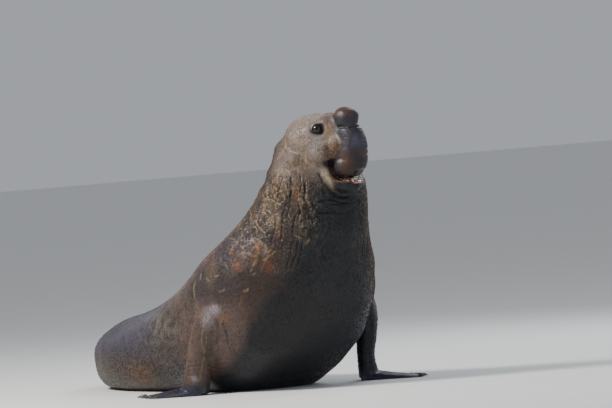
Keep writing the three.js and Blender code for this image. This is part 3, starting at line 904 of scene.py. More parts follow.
@dataclass(frozen=True)
class HideFinish:
    """Short damp hair over hide, tinted by the colours stored in the mesh."""

    name: str = "hide"
    sheen: float = 0.03
    coat: float = 0.10
    specular: float = 0.36
    coat_roughness: float = 0.34
    sheen_roughness: float = 0.5
    grain_scale: float = 95
    hair_scale: float = 300
    mottle_scale: float = 17
    crack_scale: float = 34
    fleck_scale: float = 60
    crack_colour: tuple[float, float, float, float] = (0.012, 0.009, 0.007, 1)
    fleck_colour: tuple[float, float, float, float] = (0.36, 0.28, 0.20, 1)
    wet_smoothing: float = 0.26

    def material(self) -> bpy.types.Material:
        """Builds the material.

        Returns:
            A procedural material that reads the attributes tint and wear.
        """
        n = Nodes(self.name)
        tint = n.attribute("tint").outputs["Color"]
        wear = n.add("ShaderNodeSeparateColor")
        n.join(n.attribute("wear").outputs["Color"], wear.inputs["Color"])
        wetness, roughened, scarred = wear.outputs
        grain = n.noise(self.grain_scale, 6)
        hair = n.noise(self.hair_scale, 3, n.stretched((0.35, 0.35, 1.0)))
        mottle = n.noise(self.mottle_scale, 5)
        shade = n.ramp(grain, 0.3, 0.72, (0.74, 1.24))
        patches = n.ramp(mottle, 0.32, 0.68, (0.84, 1.16))
        strength = n.maths("MULTIPLY", shade, patches)
        grey = n.add("ShaderNodeCombineColor")
        for channel in ("Red", "Green", "Blue"):
            n.join(strength, grey.inputs[channel])
        colour = n.blend(1.0, tint, grey.outputs["Color"], "MULTIPLY")
        crack = n.cracks(self.crack_scale)
        cracked = n.maths("MULTIPLY", n.ramp(crack, 0.0, 0.16, (1, 0)), roughened)
        colour = n.blend(n.maths("MULTIPLY", cracked, 0.55), colour, self.crack_colour)
        flecks = n.maths("MULTIPLY", n.ramp(n.noise(self.fleck_scale, 2), 0.62, 0.74), scarred)
        colour = n.blend(n.maths("MULTIPLY", flecks, 0.5), colour, self.fleck_colour)
        n.join(colour, n.shader.inputs["Base Color"])
        smoothing = n.maths("MULTIPLY", wetness, self.wet_smoothing)
        rough = n.maths("SUBTRACT", n.ramp(grain, 0.25, 0.75, (0.5, 0.72)), smoothing)
        n.join(rough, n.shader.inputs["Roughness"])
        n.shader.inputs["Specular IOR Level"].default_value = self.specular
        n.shader.inputs["Coat Weight"].default_value = self.coat
        n.shader.inputs["Coat Roughness"].default_value = self.coat_roughness
        n.shader.inputs["Sheen Weight"].default_value = self.sheen
        n.shader.inputs["Sheen Roughness"].default_value = self.sheen_roughness
        creased = n.maths("MULTIPLY", n.ramp(crack, 0.0, 0.3), roughened)
        n.bump([(creased, 0.7, 0.006), (grain, 0.3, 0.003), (hair, 0.35, 0.0015)])
        return n.material


@dataclass(frozen=True)
class WetFinish:
    """Wet bare flesh or eye, horn or tooth: one colour broken up by a second."""

    name: str
    light: tuple[float, float, float]
    dark: tuple[float, float, float]
    roughness: float
    coat: float
    scale: float
    depth: float
    stretch: tuple[float, float, float] = (1.0, 1.0, 1.0)
    subsurface: float = 0.0

    def material(self) -> bpy.types.Material:
        """Builds the material.

        Returns:
            A procedural material.
        """
        n = Nodes(self.name)
        where = n.stretched(self.stretch)
        pattern = n.noise(self.scale, 5, where)
        colour = n.blend(n.ramp(pattern, 0.35, 0.65), (*self.dark, 1), (*self.light, 1))
        n.join(colour, n.shader.inputs["Base Color"])
        span = (self.roughness * 0.8, self.roughness * 1.3)
        n.join(n.ramp(pattern, 0.3, 0.7, span), n.shader.inputs["Roughness"])
        n.shader.inputs["Coat Weight"].default_value = self.coat
        n.shader.inputs["Coat Roughness"].default_value = 0.08
        n.shader.inputs["Subsurface Weight"].default_value = self.subsurface
        n.shader.inputs["Subsurface Radius"].default_value = (0.02, 0.008, 0.005)
        n.bump([(pattern, 0.4, self.depth)])
        return n.material


@dataclass
class Lids:
    """The opening of the lids over one eye."""

    side: int
    centre: tuple[float, float, float] = (0.010, 0.142, 0.009)
    gaze: tuple[float, float, float] = (0.66, 0.71, 0.22)
    ball: float = 0.041
    half_long: float = math.radians(60)
    half_tall: float = math.radians(47)
    thick: float = 0.006
    sunk_share: float = 0.80
    groove: float = 0.003
    roll: float = 0.002

    def frame(self) -> tuple[Array, Array, Array, Array]:
        """The eye's centre and its long, tall and outward directions, in the head's frame.

        Returns:
            Centre, long axis, tall axis and gaze.
        """
        mirror = np.array([1, self.side, 1])
        centre = np.array(self.centre) * mirror
        gaze = np.array(self.gaze) * mirror
        gaze /= np.linalg.norm(gaze)
        tall = np.array([0.0, 0.0, 1.0]) - gaze * gaze[2]
        tall /= np.linalg.norm(tall)
        longways = np.cross(tall, gaze)
        return centre, longways, tall, gaze

    def opening(self, local: Array) -> tuple[Array, Array, Array]:
        """How far each point is from the middle of the opening, where its rim is 1.

        Args:
            local: Points in the head's frame.

        Returns:
            The measure, the distance from the ball's centre, and the direction from it.
        """
        centre, longways, tall, gaze = self.frame()
        d = local - centre
        reach = np.maximum(np.linalg.norm(d, axis=1), 1e-6)
        out = d / reach[:, None]
        a, b = out @ longways, out @ tall
        angle = np.arccos(np.clip(out @ gaze, -1, 1))
        across = np.maximum(np.hypot(a, b), 1e-6)
        measure = angle * np.hypot(a / across / self.half_long, b / across / self.half_tall)
        return measure, reach, out


class Ground:
    """Everything that the folds and colours of the skin are worked out from, point by point."""

    SOFT_ROUNDS = 30

    def __init__(self, net: Net, nose: Array) -> None:
        """Measures each point of the skin.

        Args:
            net: The skin.
            nose: How far each point belongs to the nose, from 0 to 1.
        """
        self.points = net.points
        self.normals = net.normals()
        self.local = to_head(net.points)
        self.body = net.points - CHEST
        self.height = self.body[:, 2]
        self.nose = nose
        self.view = View(net.points, self.normals)
        soft = net.spread(self.normals, self.SOFT_ROUNDS)
        turn = np.degrees(np.arctan2(soft[:, 1], soft[:, 0])) - np.degrees(self.view.facing)
        self.turn = (turn + 180) % 360 - 180
        self.mouth, self.under = self.mouth_distance()
        self.broad = Noise.layered(net.points, size=0.42, seed=61, octaves=3)
        self.fine = Noise.layered(net.points, size=0.12, seed=63, octaves=3)

    def mouth_distance(self) -> tuple[Array, Array]:
        """How far each point lies outside the open mouth seen from the side.

        Returns:
            The distance, negative inside the opening, and whether the nearest edge is the lower one.
        """
        q = self.local[:, [0, 2]]
        nearest = np.full(len(q), 9.0)
        inside = np.zeros(len(q), dtype=bool)
        lower = np.zeros(len(q), dtype=bool)
        for k, (a, b) in enumerate(zip(MOUTH_EDGE, np.roll(MOUTH_EDGE, -1, axis=0))):
            distance = segment_gap(q, a, b)
            closer = distance < nearest
            lower = np.where(closer, k >= LOWER_LIP_FROM, lower)
            nearest = np.minimum(nearest, distance)
            crosses = (a[1] > q[:, 1]) != (b[1] > q[:, 1])
            with np.errstate(divide="ignore", invalid="ignore"):
                at = a[0] + (q[:, 1] - a[1]) / (b[1] - a[1]) * (b[0] - a[0])
            inside ^= crosses & (q[:, 0] < at)
        return np.where(inside, -nearest, nearest), lower

    def near_head(self, reach: tuple[float, float, float], centre: tuple[float, float, float]) -> Array:
        """A soft spot in the head's frame, the same on both sides."""
        local = self.local * [1, 0, 1] + np.abs(self.local) * [0, 1, 0]
        return near(np.linalg.norm((local - centre) / np.array(reach), axis=1), 1.0)

    def within(
        self, chosen: Array, size: float, seed: int, stretch: tuple[float, float, float] = (1, 1, 1)
    ) -> tuple[Array, Array]:
        """Cell distances worked out only where they are wanted.

        Args:
            chosen: A weight for each point; those at 0 are skipped.
            size: Mean distance between seeds.
            seed: Chooses the field.
            stretch: Scales the field along each axis.

        Returns:
            The nearest and second nearest distance, 0.5 and 0.9 where skipped.
        """
        first = np.full(len(chosen), 0.5)
        second = np.full(len(chosen), 0.9)
        where = np.nonzero(chosen > 0.01)[0]
        first[where], second[where] = Noise.cells(self.points[where] * stretch, size, seed)
        return first, second


@dataclass(frozen=True)
class Relief:
    """Heights, depths and spacings of the skin's folds and lumps, in metres."""

    bump_furrow: float = 0.010
    nose_wrinkle: float = 0.006
    nose_wrinkle_step: float = 0.046
    nose_lump: float = 0.005
    pad_lump: float = 0.004
    pad_lump_size: float = 0.024
    lip: float = 0.004
    crease: float = 0.012
    furrow: float = 0.009
    furrows_around: float = 19
    cobble: float = 0.020
    cobble_seam: float = 0.006
    cobble_size: float = 0.038
    cobble_seed: int = 31
    throat_ring: float = 0.006
    throat_ring_step: float = 0.075
    swell: float = 0.005
    broad_swell: float = 0.004
    scar: float = 0.004
    wrist_ring: float = 0.004
    wrist_ring_step: float = 0.034


@dataclass
class Hide:
    """The one skin over every node of flesh, with its folds and its colours."""

    voxel: float = 0.010
    overlap: float = 0.0006
    rounds: int = 75
    zone_rounds: int = 6
    settling: float = 0.17
    fine_above: float = 1.16
    fine_behind: float = 0.55
    eye_gaps: tuple[float, float] = (0.085, 0.065)
    relief: Relief = Relief()
    lids: list[Lids] = field(default_factory=lambda: [Lids(-1), Lids(1)])
    piece: bpy.types.Object | None = None
    net: Net | None = None
    tint: Array | None = None
    wear: Array | None = None

    def soup(self, names: list[str]) -> tuple[Array, list[tuple[int, ...]], list[str]]:
        """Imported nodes, a little swollen so that neighbours meet.

        Args:
            names: The nodes.

        Returns:
            Points, faces, and the node that each face belongs to.
        """
        points, faces, owners, base = [], [], [], 0
        for name in names:
            bm = bmesh.new()
            bm.from_mesh(PACKED[name].data)
            bmesh.ops.remove_doubles(bm, verts=bm.verts, dist=1e-5)
            bm.normal_update()
            points += [v.co + v.normal * self.overlap for v in bm.verts]
            faces += [tuple(v.index + base for v in f.verts) for f in bm.faces]
            owners += [name] * len(bm.faces)
            base += len(bm.verts)
            bm.free()
        return np.array(points), faces, owners

    def owners(self, chosen: Array) -> list[str]:
        """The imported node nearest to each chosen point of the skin.

        Args:
            chosen: Numbers of the points.

        Returns:
            A node's name for each.
        """
        points, faces, owners = self.soup(list(NODE_ZONES))
        tree = BVHTree.FromPolygons([Vector(p) for p in points], faces)
        return [owners[tree.find_nearest(Vector(p))[2]] for p in self.net.points[chosen]]

    def grow(self) -> None:
        """Grows the closed skin over the nodes and evens out their facets."""
        points, faces, _ = self.soup(list(NODE_ZONES))
        self.piece = mesh_object("skin", points, faces)
        bpy.context.view_layer.objects.active = self.piece
        self.piece.select_set(True)
        self.piece.data.remesh_voxel_size = self.voxel
        self.piece.data.use_remesh_fix_poles = False
        bpy.ops.object.voxel_remesh()
        self.keep_largest()
        self.net = Net(self.piece.data)
        every = np.arange(len(self.net.points))
        zones = np.array([NODE_ZONES[name].value for name in self.owners(every)])
        zones = self.net.spread(zones, self.zone_rounds)
        local = to_head(self.net.points)
        lips = near(np.linalg.norm((local - [0.13, 0, -0.33]) / [0.16, 0.26, 0.13], axis=1), 1.0)
        furrow = near(local[:, 2] - 0.016, 0.03) * smoothstep(0.05, 0.12, local[:, 0])
        zones *= 1 - 0.6 * np.maximum(lips * (local[:, 0] > -0.1), furrow)
        self.net.relax(zones, self.rounds)
        self.write()

    def keep_largest(self) -> None:
        """Drops every scrap that is not joined to the main surface."""
        net = Net(self.piece.data)
        label = np.arange(len(net.points))
        while True:
            best = label.copy()
            np.minimum.at(best, net.start, label[net.stop])
            best = best[best]
            if (best == label).all():
                break
            label = best
        main = np.bincount(label).argmax()
        bm = bmesh.new()
        bm.from_mesh(self.piece.data)
        bmesh.ops.delete(bm, geom=[v for v in bm.verts if label[v.index] != main], context="VERTS")
        bm.to_mesh(self.piece.data)
        bm.free()

    def write(self) -> None:
        """Puts the arrays' points back into the piece's mesh."""
        self.piece.data.vertices.foreach_set("co", self.net.points.ravel())
        self.piece.data.update()

    def eye_gap(self, local: Array) -> Array:
        """The distance of each point of the head's frame from the nearer eye's centre."""
        return np.min([np.linalg.norm(local - lid.frame()[0], axis=1) for lid in self.lids], axis=0)

    def refine(self, inside: Array) -> None:
        """Splits the faces between the chosen points into four.

        Args:
            inside: Whether each point is chosen.
        """
        bm = bmesh.new()
        bm.from_mesh(self.piece.data)
        edges = [e for e in bm.edges if inside[e.verts[0].index] and inside[e.verts[1].index]]
        bmesh.ops.subdivide_edges(bm, edges=edges, cuts=1, use_grid_fill=True, smooth=0.6)
        bm.to_mesh(self.piece.data)
        bm.free()
        self.net = Net(self.piece.data)

    def shape_lids(self) -> None:
        """Opens both eyes and wraps their lids round the balls."""
        for lid in self.lids:
            local = to_head(self.net.points)
            measure, reach, out = lid.opening(local)
            sunk = lid.ball * lid.sunk_share
            rim = lid.ball + lid.thick
            target = sunk + (rim - sunk) * smoothstep(0.88, 1.05, measure)
            target = target - lid.groove * near(measure - 1.42, 0.10) + lid.roll * near(measure - 1.15, 0.12)
            hold = 1 - smoothstep(1.30, 2.1, measure)
            hold *= smoothstep(lid.ball * 2.1, lid.ball * 1.5, reach)
            goal = lid.frame()[0] + out * (reach * (1 - hold) + target * hold)[:, None]
            self.net.points = from_head(goal)

    def fold(self, g: Ground) -> None:
        """Presses folds, creases, lumps and wrinkles into the skin.

        Args:
            g: The skin's measures.
        """
        clear = smoothstep(0.06, 0.11, self.eye_gap(g.local))
        wobble = Noise.value(g.points, size=0.11, seed=3)
        rise = self.fold_face(g, clear, wobble)
        rise += self.fold_throat(g, wobble)
        rise += self.fold_body(g, clear, wobble)
        rise *= 1 - smoothstep(0.01, -0.01, g.mouth)
        self.net.points = g.points + g.normals * (rise - COAT_DEPTH)[:, None]

    def fold_face(self, g: Ground, clear: Array, wobble: Array) -> Array:
        """Furrow and wrinkles of the nose, whisker pads and lips.

        Args:
            g: The skin's measures.
            clear: 0 round the eyes, 1 elsewhere.
            wobble: A slow noise that bends the folds.

        Returns:
            How far each point rises.
        """
        r, p = self.relief, g.points
        x, y, z = g.local.T
        rise = -r.bump_furrow * near(z - BUMP_FURROW + 0.004 * wobble, BUMP_FURROW_REACH) * g.nose
        bend = 0.03 * Noise.value(p, size=0.13, seed=5) + 0.05 * np.abs(y)
        line = (z + bend) * 2 * math.pi / r.nose_wrinkle_step
        faint = smoothstep(0.0, 0.5, Noise.value(p, size=0.10, seed=6)) * g.nose * smoothstep(-0.02, -0.08, z)
        rise -= r.nose_wrinkle * faint * np.maximum(0, np.sin(line)) ** 3
        rise += r.nose_lump * Noise.layered(p, size=0.07, seed=9, octaves=3) * g.nose
        pad = g.near_head((0.085, 0.11, 0.10), (0.15, 0.14, -0.165)) * (1 - g.nose)
        first, _ = g.within(pad, r.pad_lump_size, 8)
        rise += r.pad_lump * pad * (0.5 - first) * clear
        rise += r.lip * near(g.mouth - 0.022, 0.022) * g.under * smoothstep(-0.35, -0.1, -x)
        rise += r.lip * near(g.mouth - 0.016, 0.014) * (1 - g.under) * (1 - g.nose) * (x > 0.0)
        return rise

    def fold_throat(self, g: Ground, wobble: Array) -> Array:
        """Creases, upright furrows, cobbles and rings of the neck and throat.

        Args:
            g: The skin's measures.
            wobble: A slow noise that bends the folds.

        Returns:
            How far each point rises.
        """
        r, p = self.relief, g.points
        x, _, z = g.local.T
        lip = smoothstep(0.075, 0.02, np.abs(g.mouth - 0.02)) * g.under * (1 - g.nose)
        throat = smoothstep(0.95, 1.2, g.height) * smoothstep(-0.30, -0.42, z) * (1 - lip)
        rise = -r.crease * g.view.strokes(CREASES) * (0.55 + 0.45 * Noise.value(p, size=0.03, seed=27))
        warp = 6 * Noise.layered(p * [1, 1, 0.4], size=0.24, seed=21, octaves=2)
        furrow = np.maximum(0, np.cos(np.radians((g.turn + warp) * r.furrows_around))) ** 8
        depth = smoothstep(-0.3, 0.5, Noise.value(p, size=0.21, seed=23))
        side = smoothstep(26, 40, np.abs(g.turn))
        rise -= r.furrow * throat * furrow * depth * side
        cobble = np.maximum(g.view.patch(COBBLED_PLACE, COBBLED_REACH), 0.25 * throat * side)
        lumps, edge = g.within(cobble, r.cobble_size, r.cobble_seed, (1, 1, 0.75))
        rise += r.cobble * cobble * (0.40 - lumps)
        rise -= r.cobble_seam * cobble * near(edge - lumps, 0.12)
        turns = (z + 0.14 * x + 0.05 * wobble) * 2 * math.pi / r.throat_ring_step
        rings = np.maximum(0, np.cos(turns)) ** 4
        broken = smoothstep(0.0, 0.5, Noise.value(p * [1, 1, 2], size=0.22, seed=29))
        span = smoothstep(-0.47, -0.53, z) * smoothstep(-0.95, -0.7, z)
        rise -= r.throat_ring * rings * broken * span * (1 - side)
        return rise

    def fold_body(self, g: Ground, clear: Array, wobble: Array) -> Array:
        """Slow swellings, scars and the wrinkles of the wrists.

        Args:
            g: The skin's measures.
            clear: 0 round the eyes, 1 elsewhere.
            wobble: A slow noise that bends the folds.

        Returns:
            How far each point rises.
        """
        r, p = self.relief, g.points
        swell = Noise.layered(p, size=0.16, seed=41, octaves=3) * smoothstep(0.2, 1.0, g.height)
        rise = r.swell * swell * clear
        rise += r.broad_swell * Noise.layered(p, size=0.4, seed=43, octaves=2) * clear
        rise -= r.scar * g.view.strokes(SCARS)
        wrist = smoothstep(0.34, 0.24, g.height) * smoothstep(0.10, 0.16, g.height)
        wrist *= (np.abs(g.body[:, 1]) > 0.5) * (g.body[:, 0] > -0.45)
        turns = (g.height + 0.006 * wobble) * 2 * math.pi / r.wrist_ring_step
        rise -= r.wrist_ring * wrist * np.maximum(0, np.cos(turns)) ** 2
        return rise

    def settle(self) -> None:
        """Keeps the skin on the floor and rounds off what the sculpting left sharp."""
        self.net.points += self.settling * (self.net.average(self.net.points) - self.net.points)
        self.net.points[:, 2] = np.maximum(self.net.points[:, 2], 0.0)
        self.write()

    def colour(self, g: Ground) -> None:
        """Works out the tint and the wear of each point of the skin from its place on the animal.

        Args:
            g: The skin's measures before it was folded.
        """
        paint = Paint(len(g.points), Tone.UNDERLYING)
        self.colour_body(g, paint)
        self.colour_limbs(g, paint)
        self.colour_neck(g, paint)
        self.colour_scars(g, paint)
        self.colour_face(g, paint)
        self.colour_nose(g, paint)
        self.colour_mouth(g, paint)
        self.colour_lids(g, paint)
        self.colour_creases(g, paint)
        grey = paint.tint.mean(1, keepdims=True)
        self.tint = np.clip((grey + (paint.tint - grey) * TINT_VIVID) * TINT_GAIN, 0.001, 1)
        self.wear = self.worn(g)
        set_colours(self.piece, "tint", self.tint)
        set_colours(self.piece, "wear", self.wear)

    def colour_creases(self, g: Ground, paint: "Paint") -> None:
        """Pale scratches, and painted shade in the creases and in every pit of the folded skin.

        Args:
            g: The skin's measures.
            paint: The layers to add to.
        """
        broken = 0.6 + 0.4 * Noise.value(g.points, size=0.025, seed=113)
        paint.lay(Tone.SCAR, g.view.strokes(SCARS) * broken)
        # Painted shade darkens the creases.
        paint.lay(Tone.CREASE_SHADE, g.view.strokes(CREASES) * 0.7 * (0.7 + 0.3 * g.fine))
        # Painted shade in every hollow of the folded skin.
        inward = self.net.average(self.net.points) - self.net.points
        curve = np.einsum("ij,ij->i", inward, self.net.normals())
        paint.lay(Tone.PIT_SHADE, smoothstep(0.0002, 0.0014, self.net.spread(curve, 2)) * 0.6)

    def worn(self, g: Ground) -> Array:
        """How wet, how cracked and how scarred the skin is.

        Args:
            g: The skin's measures.

        Returns:
            Three weights for each point.
        """
        z, front = g.local[:, 2], self.front(g)
        wet = 0.3 + 0.15 * g.nose + 0.3 * smoothstep(-0.9, -1.5, g.body[:, 0]) + 0.25 * front
        cracked = 0.3 * smoothstep(1.0, 1.3, g.height) * smoothstep(-0.25, -0.4, z)
        rough = np.maximum(g.view.patch(COBBLED_PLACE, COBBLED_REACH), cracked)
        scarred = smoothstep(1.0, 1.25, g.height) * smoothstep(-0.2, -0.35, z) * (1 - front)
        return np.clip(np.stack([wet, rough, scarred * (1 - g.nose)], 1), 0, 1)

    def front(self, g: Ground) -> Array:
        """How far each point belongs to the dark chest and belly: wet hide, darkened further by painted
        shade.

        Args:
            g: The skin's measures.

        Returns:
            A weight from 0 to 1 for each point.
        """
        limit = np.interp(g.height, CHEST_HEIGHTS, CHEST_REACH)
        dark = smoothstep(limit + 9, limit - 7, np.abs(g.turn) + 9 * g.broad + 7 * g.fine)
        below = smoothstep(0.30, 0.12, g.height) * (g.body[:, 0] > -1.0)
        top = smoothstep(-0.40, -0.50, g.local[:, 2] + 0.02 * g.fine)
        return np.maximum(dark, below) * top * smoothstep(-1.5, -0.8, g.body[:, 0])

    def colour_body(self, g: Ground, paint: "Paint") -> None:
        """Back, flanks, rump and chest.

        Args:
            g: The skin's measures.
            paint: The layers to add to.
        """
        x, h = g.body[:, 0], g.height
        paint.lay(Tone.SHOULDER, smoothstep(0.5, 0.9, h))
        upper = smoothstep(95, 130, np.abs(g.turn) + 14 * g.fine) * smoothstep(0.3, 0.7, h)
        paint.lay(Tone.BACK, upper)
        cloud = Noise.layered(g.points, size=0.3, seed=72, octaves=3)
        paint.lay(Tone.GREY_CLOUD, smoothstep(0.0, 0.5, cloud) * 0.6)
        rust = Noise.layered(g.points, size=0.22, seed=71, octaves=3)
        paint.lay(Tone.RUST_CLOUD, smoothstep(0.2, 0.6, rust) * 0.6 * smoothstep(1.7, 1.3, h))
        rear = smoothstep(-0.70, -1.35, x + 0.25 * g.broad + 0.1 * g.fine)
        paint.lay(Tone.RUMP, rear * smoothstep(0.15, 0.40, h))
        # Painted sheen on the top of the rump.
        paint.lay(Tone.RUMP_TOP_SHEEN, rear * smoothstep(0.45, 0.62, h + 0.05 * g.fine) * 0.8)
        paint.lay(Tone.RUMP_LOW, rear * smoothstep(0.40, 0.16, h) * smoothstep(-1.1, -0.2, g.broad))
        dry = smoothstep(-0.3, 0.3, Noise.layered(g.points, size=0.05, seed=77, octaves=3))
        paint.lay(Tone.DRY_FUR, g.view.patch((160, 328), (26, 20)) * dry * 0.6)
        dark = self.front(g)
        limit = np.interp(h, CHEST_HEIGHTS, CHEST_REACH)
        turned = np.abs(g.turn) + 8 * (g.fine + g.broad)
        brink = smoothstep(limit + 34, limit + 6, turned) * smoothstep(0.25, 0.4, h)
        paint.lay(Tone.CHEST_BRINK, brink * 0.8 * (g.local[:, 2] < -0.4))
        # The chest and belly are laid near black: wet hide with painted shade.
        paint.lay(Tone.CHEST, dark)
        paint.lay(Tone.CHEST_SHEEN, dark * smoothstep(0.1, 0.5, g.broad) * 0.5)

    def colour_limbs(self, g: Ground, paint: "Paint") -> None:
        """Arms and hands, the left one laid near black as painted shade.

        Args:
            g: The skin's measures.
            paint: The layers to add to.
        """
        x, h = g.body[:, 0], g.height
        aside = smoothstep(0.50, 0.57, np.abs(g.body[:, 1])) * smoothstep(0.82, 0.62, h)
        limb = aside * smoothstep(-0.78, -0.28, x + 0.12 * (g.fine + g.broad)) * (x < 0.5)
        right = limb * (g.body[:, 1] < 0)
        paint.lay(Tone.ARM, right * 0.9)
        streak = Noise.layered(g.points * [1, 1, 0.4], size=0.1, seed=79, octaves=3)
        paint.lay(Tone.ARM_STREAK, right * smoothstep(0.1, 0.5, streak) * 0.7)
        # Painted shade: the left arm is laid near black.
        paint.lay(Tone.LEFT_ARM_SHADE, limb * (g.body[:, 1] > 0) * 0.95)
        paint.lay(Tone.HAND, smoothstep(0.13, 0.05, h) * limb)
        paint.lay(Tone.HAND_WORN, smoothstep(0.1, 0.05, h) * limb * smoothstep(0.15, 0.5, g.fine) * 0.6)

    def colour_neck(self, g: Ground, paint: "Paint") -> None:
        """Streaked brown neck, stains, a painted shoulder highlight and the cobbled patch under the jaw.

        Args:
            g: The skin's measures.
            paint: The layers to add to.
        """
        neck = smoothstep(1.15, 1.42, g.height + 0.08 * g.broad) * (1 - self.front(g))
        paint.lay(Tone.NECK, neck)
        streaks = Noise.layered(g.points * [1, 1, 0.22], size=0.045, seed=83, octaves=3)
        paint.lay(Tone.NECK_STREAK, neck * smoothstep(0.0, 0.45, streaks) * 0.85)
        paint.lay(Tone.NECK_PALE, neck * smoothstep(-0.1, -0.5, streaks) * 0.6)
        rust = Noise.layered(g.points * [1, 1, 0.4], size=0.08, seed=85, octaves=2)
        paint.lay(Tone.NECK_RUST, neck * smoothstep(0.25, 0.55, rust) * 0.45)
        # Stains and bleached spots, and a painted highlight on the shoulder.
        for centre, reach, colour, strength in SPOTS:
            paint.lay(colour, g.view.patch(centre, reach) * strength)
        cobble = g.view.patch(COBBLED_PLACE, COBBLED_TINT_REACH)
        paint.lay(Tone.COBBLE, cobble * 0.75)
        lumps, edge = g.within(cobble, self.relief.cobble_size, self.relief.cobble_seed, (1, 1, 0.75))
        # Painted highlight on the tops of the cobbles, and painted shade in the seams between them.
        paint.lay(Tone.COBBLE_TOP_HIGHLIGHT, cobble * smoothstep(0.42, 0.15, lumps) * 0.8)
        paint.lay(Tone.COBBLE_SEAM_SHADE, cobble * near(edge - lumps, 0.14) * 0.85)

    def colour_scars(self, g: Ground, paint: "Paint") -> None:
        """The net of pale scars on neck and shoulders, and painted shade on the throat under the jaw.

        Args:
            g: The skin's measures.
            paint: The layers to add to.
        """
        z, h = g.local[:, 2], g.height
        lit = 1 - self.front(g)
        low = smoothstep(0.95, 1.2, h) * smoothstep(-0.32, -0.44, z) * lit * (1 - g.nose)
        web = low * smoothstep(0.02, 0.25, Noise.value(g.points, size=0.19, seed=103))
        bend = 0.03 * np.stack([g.fine, g.broad, g.fine], 1)
        first, second = Noise.cells(g.points + bend, size=0.085, seed=101)
        paint.lay(Tone.SCAR_NET, near(second - first, 0.05) * web * 0.7)
        first, second = Noise.cells(g.points * [1, 1, 0.5] + bend, size=0.16, seed=107)
        flank = smoothstep(0.55, 0.9, h) * smoothstep(1.5, 1.2, h) * lit
        broken = smoothstep(0.15, 0.5, Noise.value(g.points, size=0.16, seed=109))
        paint.lay(Tone.SCAR_FLANK, near(second - first, 0.03) * broken * flank * 0.6)
        ahead = smoothstep(40, 20, np.abs(g.turn)) * (h > 1.2)
        # Painted shade on the throat under the jaw.
        paint.lay(Tone.THROAT_SHADE, smoothstep(-0.43, -0.50, z) * ahead * 0.8)

    def colour_face(self, g: Ground, paint: "Paint") -> None:
        """Pale face with a painted highlight on its crown, whisker pads, lips and painted shade on the chin.

        Args:
            g: The skin's measures.
            paint: The layers to add to.
        """
        x, _, z = g.local.T
        flesh = 1 - g.nose
        fade = smoothstep(-0.44, -0.10, x + 0.07 * g.fine + 0.05 * g.broad + 0.25 * (z + 0.2))
        face = smoothstep(-0.42, -0.26, z + 0.05 * g.fine) * fade * flesh
        paint.lay(Tone.FACE, face)
        # Painted highlight on the top of the head.
        paint.lay(Tone.CROWN_HIGHLIGHT, face * smoothstep(0.02, 0.12, z) * 0.6)
        paint.lay(Tone.FOREHEAD, face * smoothstep(-0.02, 0.04, x) * smoothstep(-0.02, 0.05, z) * 0.7)
        paint.lay(Tone.CHEEK_SHEEN, g.near_head((0.045, 0.1, 0.04), (0.03, 0.2, -0.09)) * face * 0.75)
        paint.lay(Tone.JOWL, face * smoothstep(-0.16, -0.26, z) * 0.8)
        paint.lay(Tone.FACE_CLOUD, face * smoothstep(0.1, 0.55, g.fine) * 0.5)
        streak = smoothstep(0.3, 0.6, Noise.layered(g.points * [1, 1, 0.14], size=0.03, seed=81, octaves=2))
        paint.lay(Tone.FACE_STREAK, streak * face * smoothstep(0.02, -0.1, x) * 0.6)
        pad = smoothstep(0.2, 0.7, g.near_head((0.085, 0.12, 0.105), (0.15, 0.14, -0.165))) * flesh
        paint.lay(Tone.PAD, pad)
        first, second = g.within(pad, size=0.022, seed=87)
        paint.lay(Tone.PAD_SEAM, pad * near(second - first, 0.14) * 0.85)
        paint.lay(Tone.NOSE_FLANK, g.near_head((0.02, 0.08, 0.05), (0.10, 0.11, -0.02)) * flesh * 0.7)
        band = near(g.mouth - 0.028, 0.028) * g.under * smoothstep(0.18, 0.12, x) * (x > 0.0)
        paint.lay(Tone.LIP, band * 0.95 * flesh)
        # Painted shade on the front of the chin.
        chin = smoothstep(0.12, 0.17, x) * smoothstep(0.115, 0.085, g.mouth) * g.under
        paint.lay(Tone.CHIN_SHADE, chin * flesh)
        ring = near(z + 0.512, 0.012) * smoothstep(0.10, 0.18, x) * smoothstep(60, 40, np.abs(g.turn))
        paint.lay(Tone.THROAT_RING, ring * 0.5)

    def colour_nose(self, g: Ground, paint: "Paint") -> None:
        """Slate nose, redder on the bump and brown in blotches.

        Args:
            g: The skin's measures.
            paint: The layers to add to.
        """
        z = g.local[:, 2]
        paint.lay(Tone.NOSE, g.nose)
        paint.lay(Tone.NOSE_LOW, g.nose * smoothstep(-0.14, -0.30, z))
        paint.lay(Tone.BUMP, g.nose * smoothstep(0.07, 0.15, z) * 0.9)
        blotch = smoothstep(0.05, 0.5, Noise.layered(g.points, size=0.09, seed=91, octaves=3))
        paint.lay(Tone.NOSE_BLOTCH, g.nose * blotch * smoothstep(-0.02, -0.16, z) * 0.75)
        paint.lay(Tone.NOSE_BROWN, g.view.patch((346, 161), (10, 11)) * g.nose * 0.7)
        paint.lay(Tone.BUMP_TOP, g.view.patch((343, 110), (9, 4)) * g.nose * 0.7)
        paint.lay(Tone.NOSE_SHEEN, g.nose * smoothstep(-0.1, 0.4, -g.fine) * near(z + 0.10, 0.09) * 0.6)
        # Painted shade in the furrow under the bump.
        paint.lay(Tone.NOSE_FURROW_SHADE, near(z - BUMP_FURROW, BUMP_FURROW_REACH) * g.nose * 0.95)
        lobe = g.near_head((0.05, 0.05, 0.05), (0.15, 0.11, -0.28))
        paint.lay(Tone.NOSE_LOBE, lobe * g.nose * 0.6)

